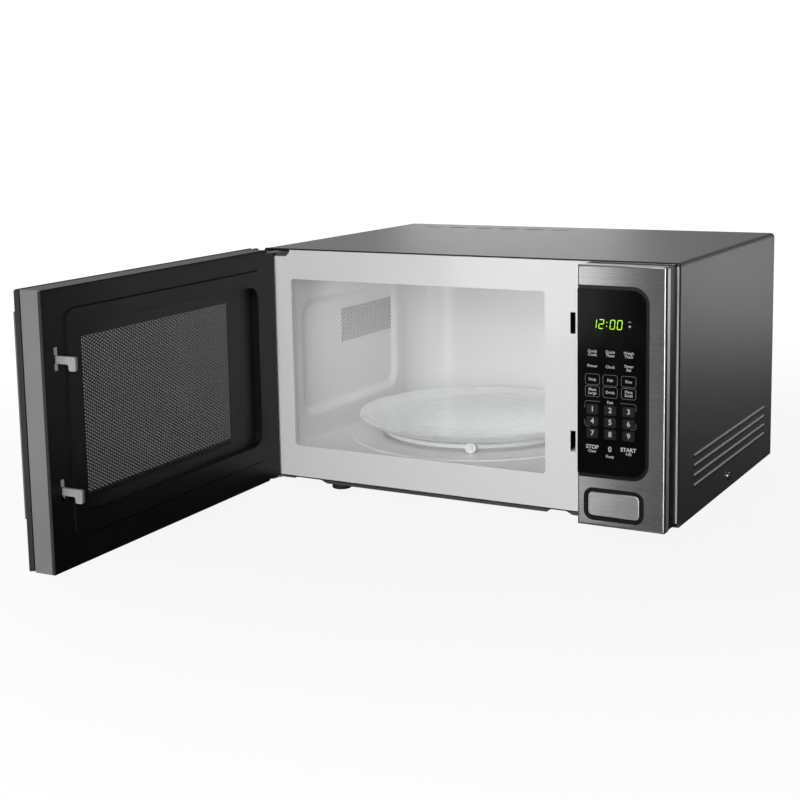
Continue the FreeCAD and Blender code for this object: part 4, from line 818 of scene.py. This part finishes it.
def floor_paper():
    """Pale paper; the eye sees it evenly lit, while the oven's sides pick up only its own soft shade."""
    material, tree, shader = new_material("floor_paper", Roughness=0.8, Specular_IOR_Level=0.1)
    fibre = noise(tree, (3.0,) * 3, 3.0)
    links = tree.links
    links.new(tones(tree, fibre, grey(0.033), grey(0.036)), shader.inputs["Base Color"])
    links.new(relief(tree, fibre, 0.02), shader.inputs["Normal"])
    spot = add(tree, "TexCoord").outputs["Object"]
    away = add(tree, "VectorMath", {0: spot}, operation="LENGTH").outputs["Value"]
    lit = between(tree, away, 0.9, 1.05, 0.4, 1.6)
    seen = add(tree, "LightPath").outputs["Is Camera Ray"]
    strength = add(tree, "Math", {0: lit, 1: seen}, operation="MULTIPLY").outputs[0]
    shader.inputs["Emission Color"].default_value = (1.0, 1.0, 1.0, 1.0)
    links.new(strength, shader.inputs["Emission Strength"])
    return material


ground = bmesh.new()
bmesh.ops.create_grid(ground, x_segments=2, y_segments=2, size=FLOOR_SIZE)
floor_mesh = bpy.data.meshes.new("floor")
ground.to_mesh(floor_mesh)
ground.free()
floor = bpy.data.objects.new("floor", floor_mesh)
floor.location.z = -FLOOR_DROP
bpy.context.scene.collection.objects.link(floor)
dress(floor, floor_paper())


def area_light(name, place, aim, size, power, shape_y=None):
    """A soft rectangular light that faces a point and that the eye doesn't see."""
    data = bpy.data.lights.new(name, "AREA")
    data.shape = "RECTANGLE"
    data.size = size
    data.size_y = shape_y or size
    data.energy = power
    item = bpy.data.objects.new(name, data)
    bpy.context.scene.collection.objects.link(item)
    item.location = place
    item.rotation_mode = "QUATERNION"
    item.rotation_quaternion = (Vector(aim) - Vector(place)).to_track_quat("-Z", "Y")
    item.visible_camera = False
    return item


CENTRE = (0.0, -0.1, 0.14)
area_light("key", (0.45, -2.5, 1.5), CENTRE, 1.5, 34)
area_light("front_fill", (0.35, -2.2, 0.4), (0.0, 0.0, 0.15), 0.8, 18)
area_light("left_panel", (-0.445, -1.2, 0.13), (0.195, -0.207, 0.1), 0.46, 2.0, 0.25)
area_light("top", (-0.5, 0.2, 2.4), CENTRE, 1.4, 6)
area_light("back_left", (-1.2, 2.6, 0.62), (0.0, 0.0, 0.27), 0.7, 2.4, 0.6)
area_light("right_rim", (1.3, 1.6, 0.80), (0.2425, 0.0, 0.14), 0.8, 1.5, 0.8)
area_light("right_card", (0.75, 0.95, 0.16), (0.2425, -0.1, 0.2), 0.5, 0.55, 0.3)
area_light("oven_glow", (0.095, -0.01, 0.185), (-0.2, 0.1, 0.15), 0.12, 0.14, 0.08)
area_light("cavity_fill", (-0.05, -0.13, 0.226), (-0.05, 0.145, 0.11), 0.2, 0.1, 0.05)

world = bpy.data.worlds.new("studio")
bpy.context.scene.world = world
world.use_nodes = True
sky = world.node_tree
sky.nodes.clear()
direction = add(sky, "TexCoord").outputs["Generated"]
LEFT_AND_BACK = (-0.8, 0.6, 0.0)
turned = add(sky, "VectorMath", {0: direction, 1: LEFT_AND_BACK}, operation="DOT_PRODUCT").outputs["Value"]
brightness = between(sky, turned, 0.02, 0.44, 0.35, 0.88)
white = (1.0, 1.0, 1.0, 1.0)
ambient = add(sky, "Background", {"Color": white, "Strength": brightness})
backdrop = add(sky, "Background", {"Color": white, "Strength": 1.05})
chooser = add(sky, "LightPath")
mixed = add(
    sky,
    "MixShader",
    {0: chooser.outputs["Is Camera Ray"], 1: ambient.outputs[0], 2: backdrop.outputs[0]},
)
add(sky, "OutputWorld", {"Surface": mixed.outputs[0]})
bpy.context.scene.view_settings.view_transform = "Standard"

LENS, SENSOR, SHIFT_Y = 65.5, 36.0, -0.1
CAMERA_AT = Vector((0.6865, -1.5269, 0.4310))
YAW, PITCH, ROLL = (math.radians(a) for a in (-29.17, 8.41, -1.05))
forward = Vector((math.sin(YAW) * math.cos(PITCH), math.cos(YAW) * math.cos(PITCH), -math.sin(PITCH)))
level = Vector((math.cos(YAW), -math.sin(YAW), 0.0))
upward = level.cross(forward)
right = level * math.cos(ROLL) + upward * math.sin(ROLL)
up = upward * math.cos(ROLL) - level * math.sin(ROLL)
lens = bpy.data.cameras.new("camera")
lens.sensor_width = SENSOR
lens.lens = LENS
lens.shift_y = SHIFT_Y
lens.clip_end = 100.0
camera = bpy.data.objects.new("camera", lens)
bpy.context.scene.collection.objects.link(camera)
camera.matrix_world = Matrix.Translation(CAMERA_AT) @ Matrix((right, up, -forward)).transposed().to_4x4()
bpy.context.scene.camera = camera
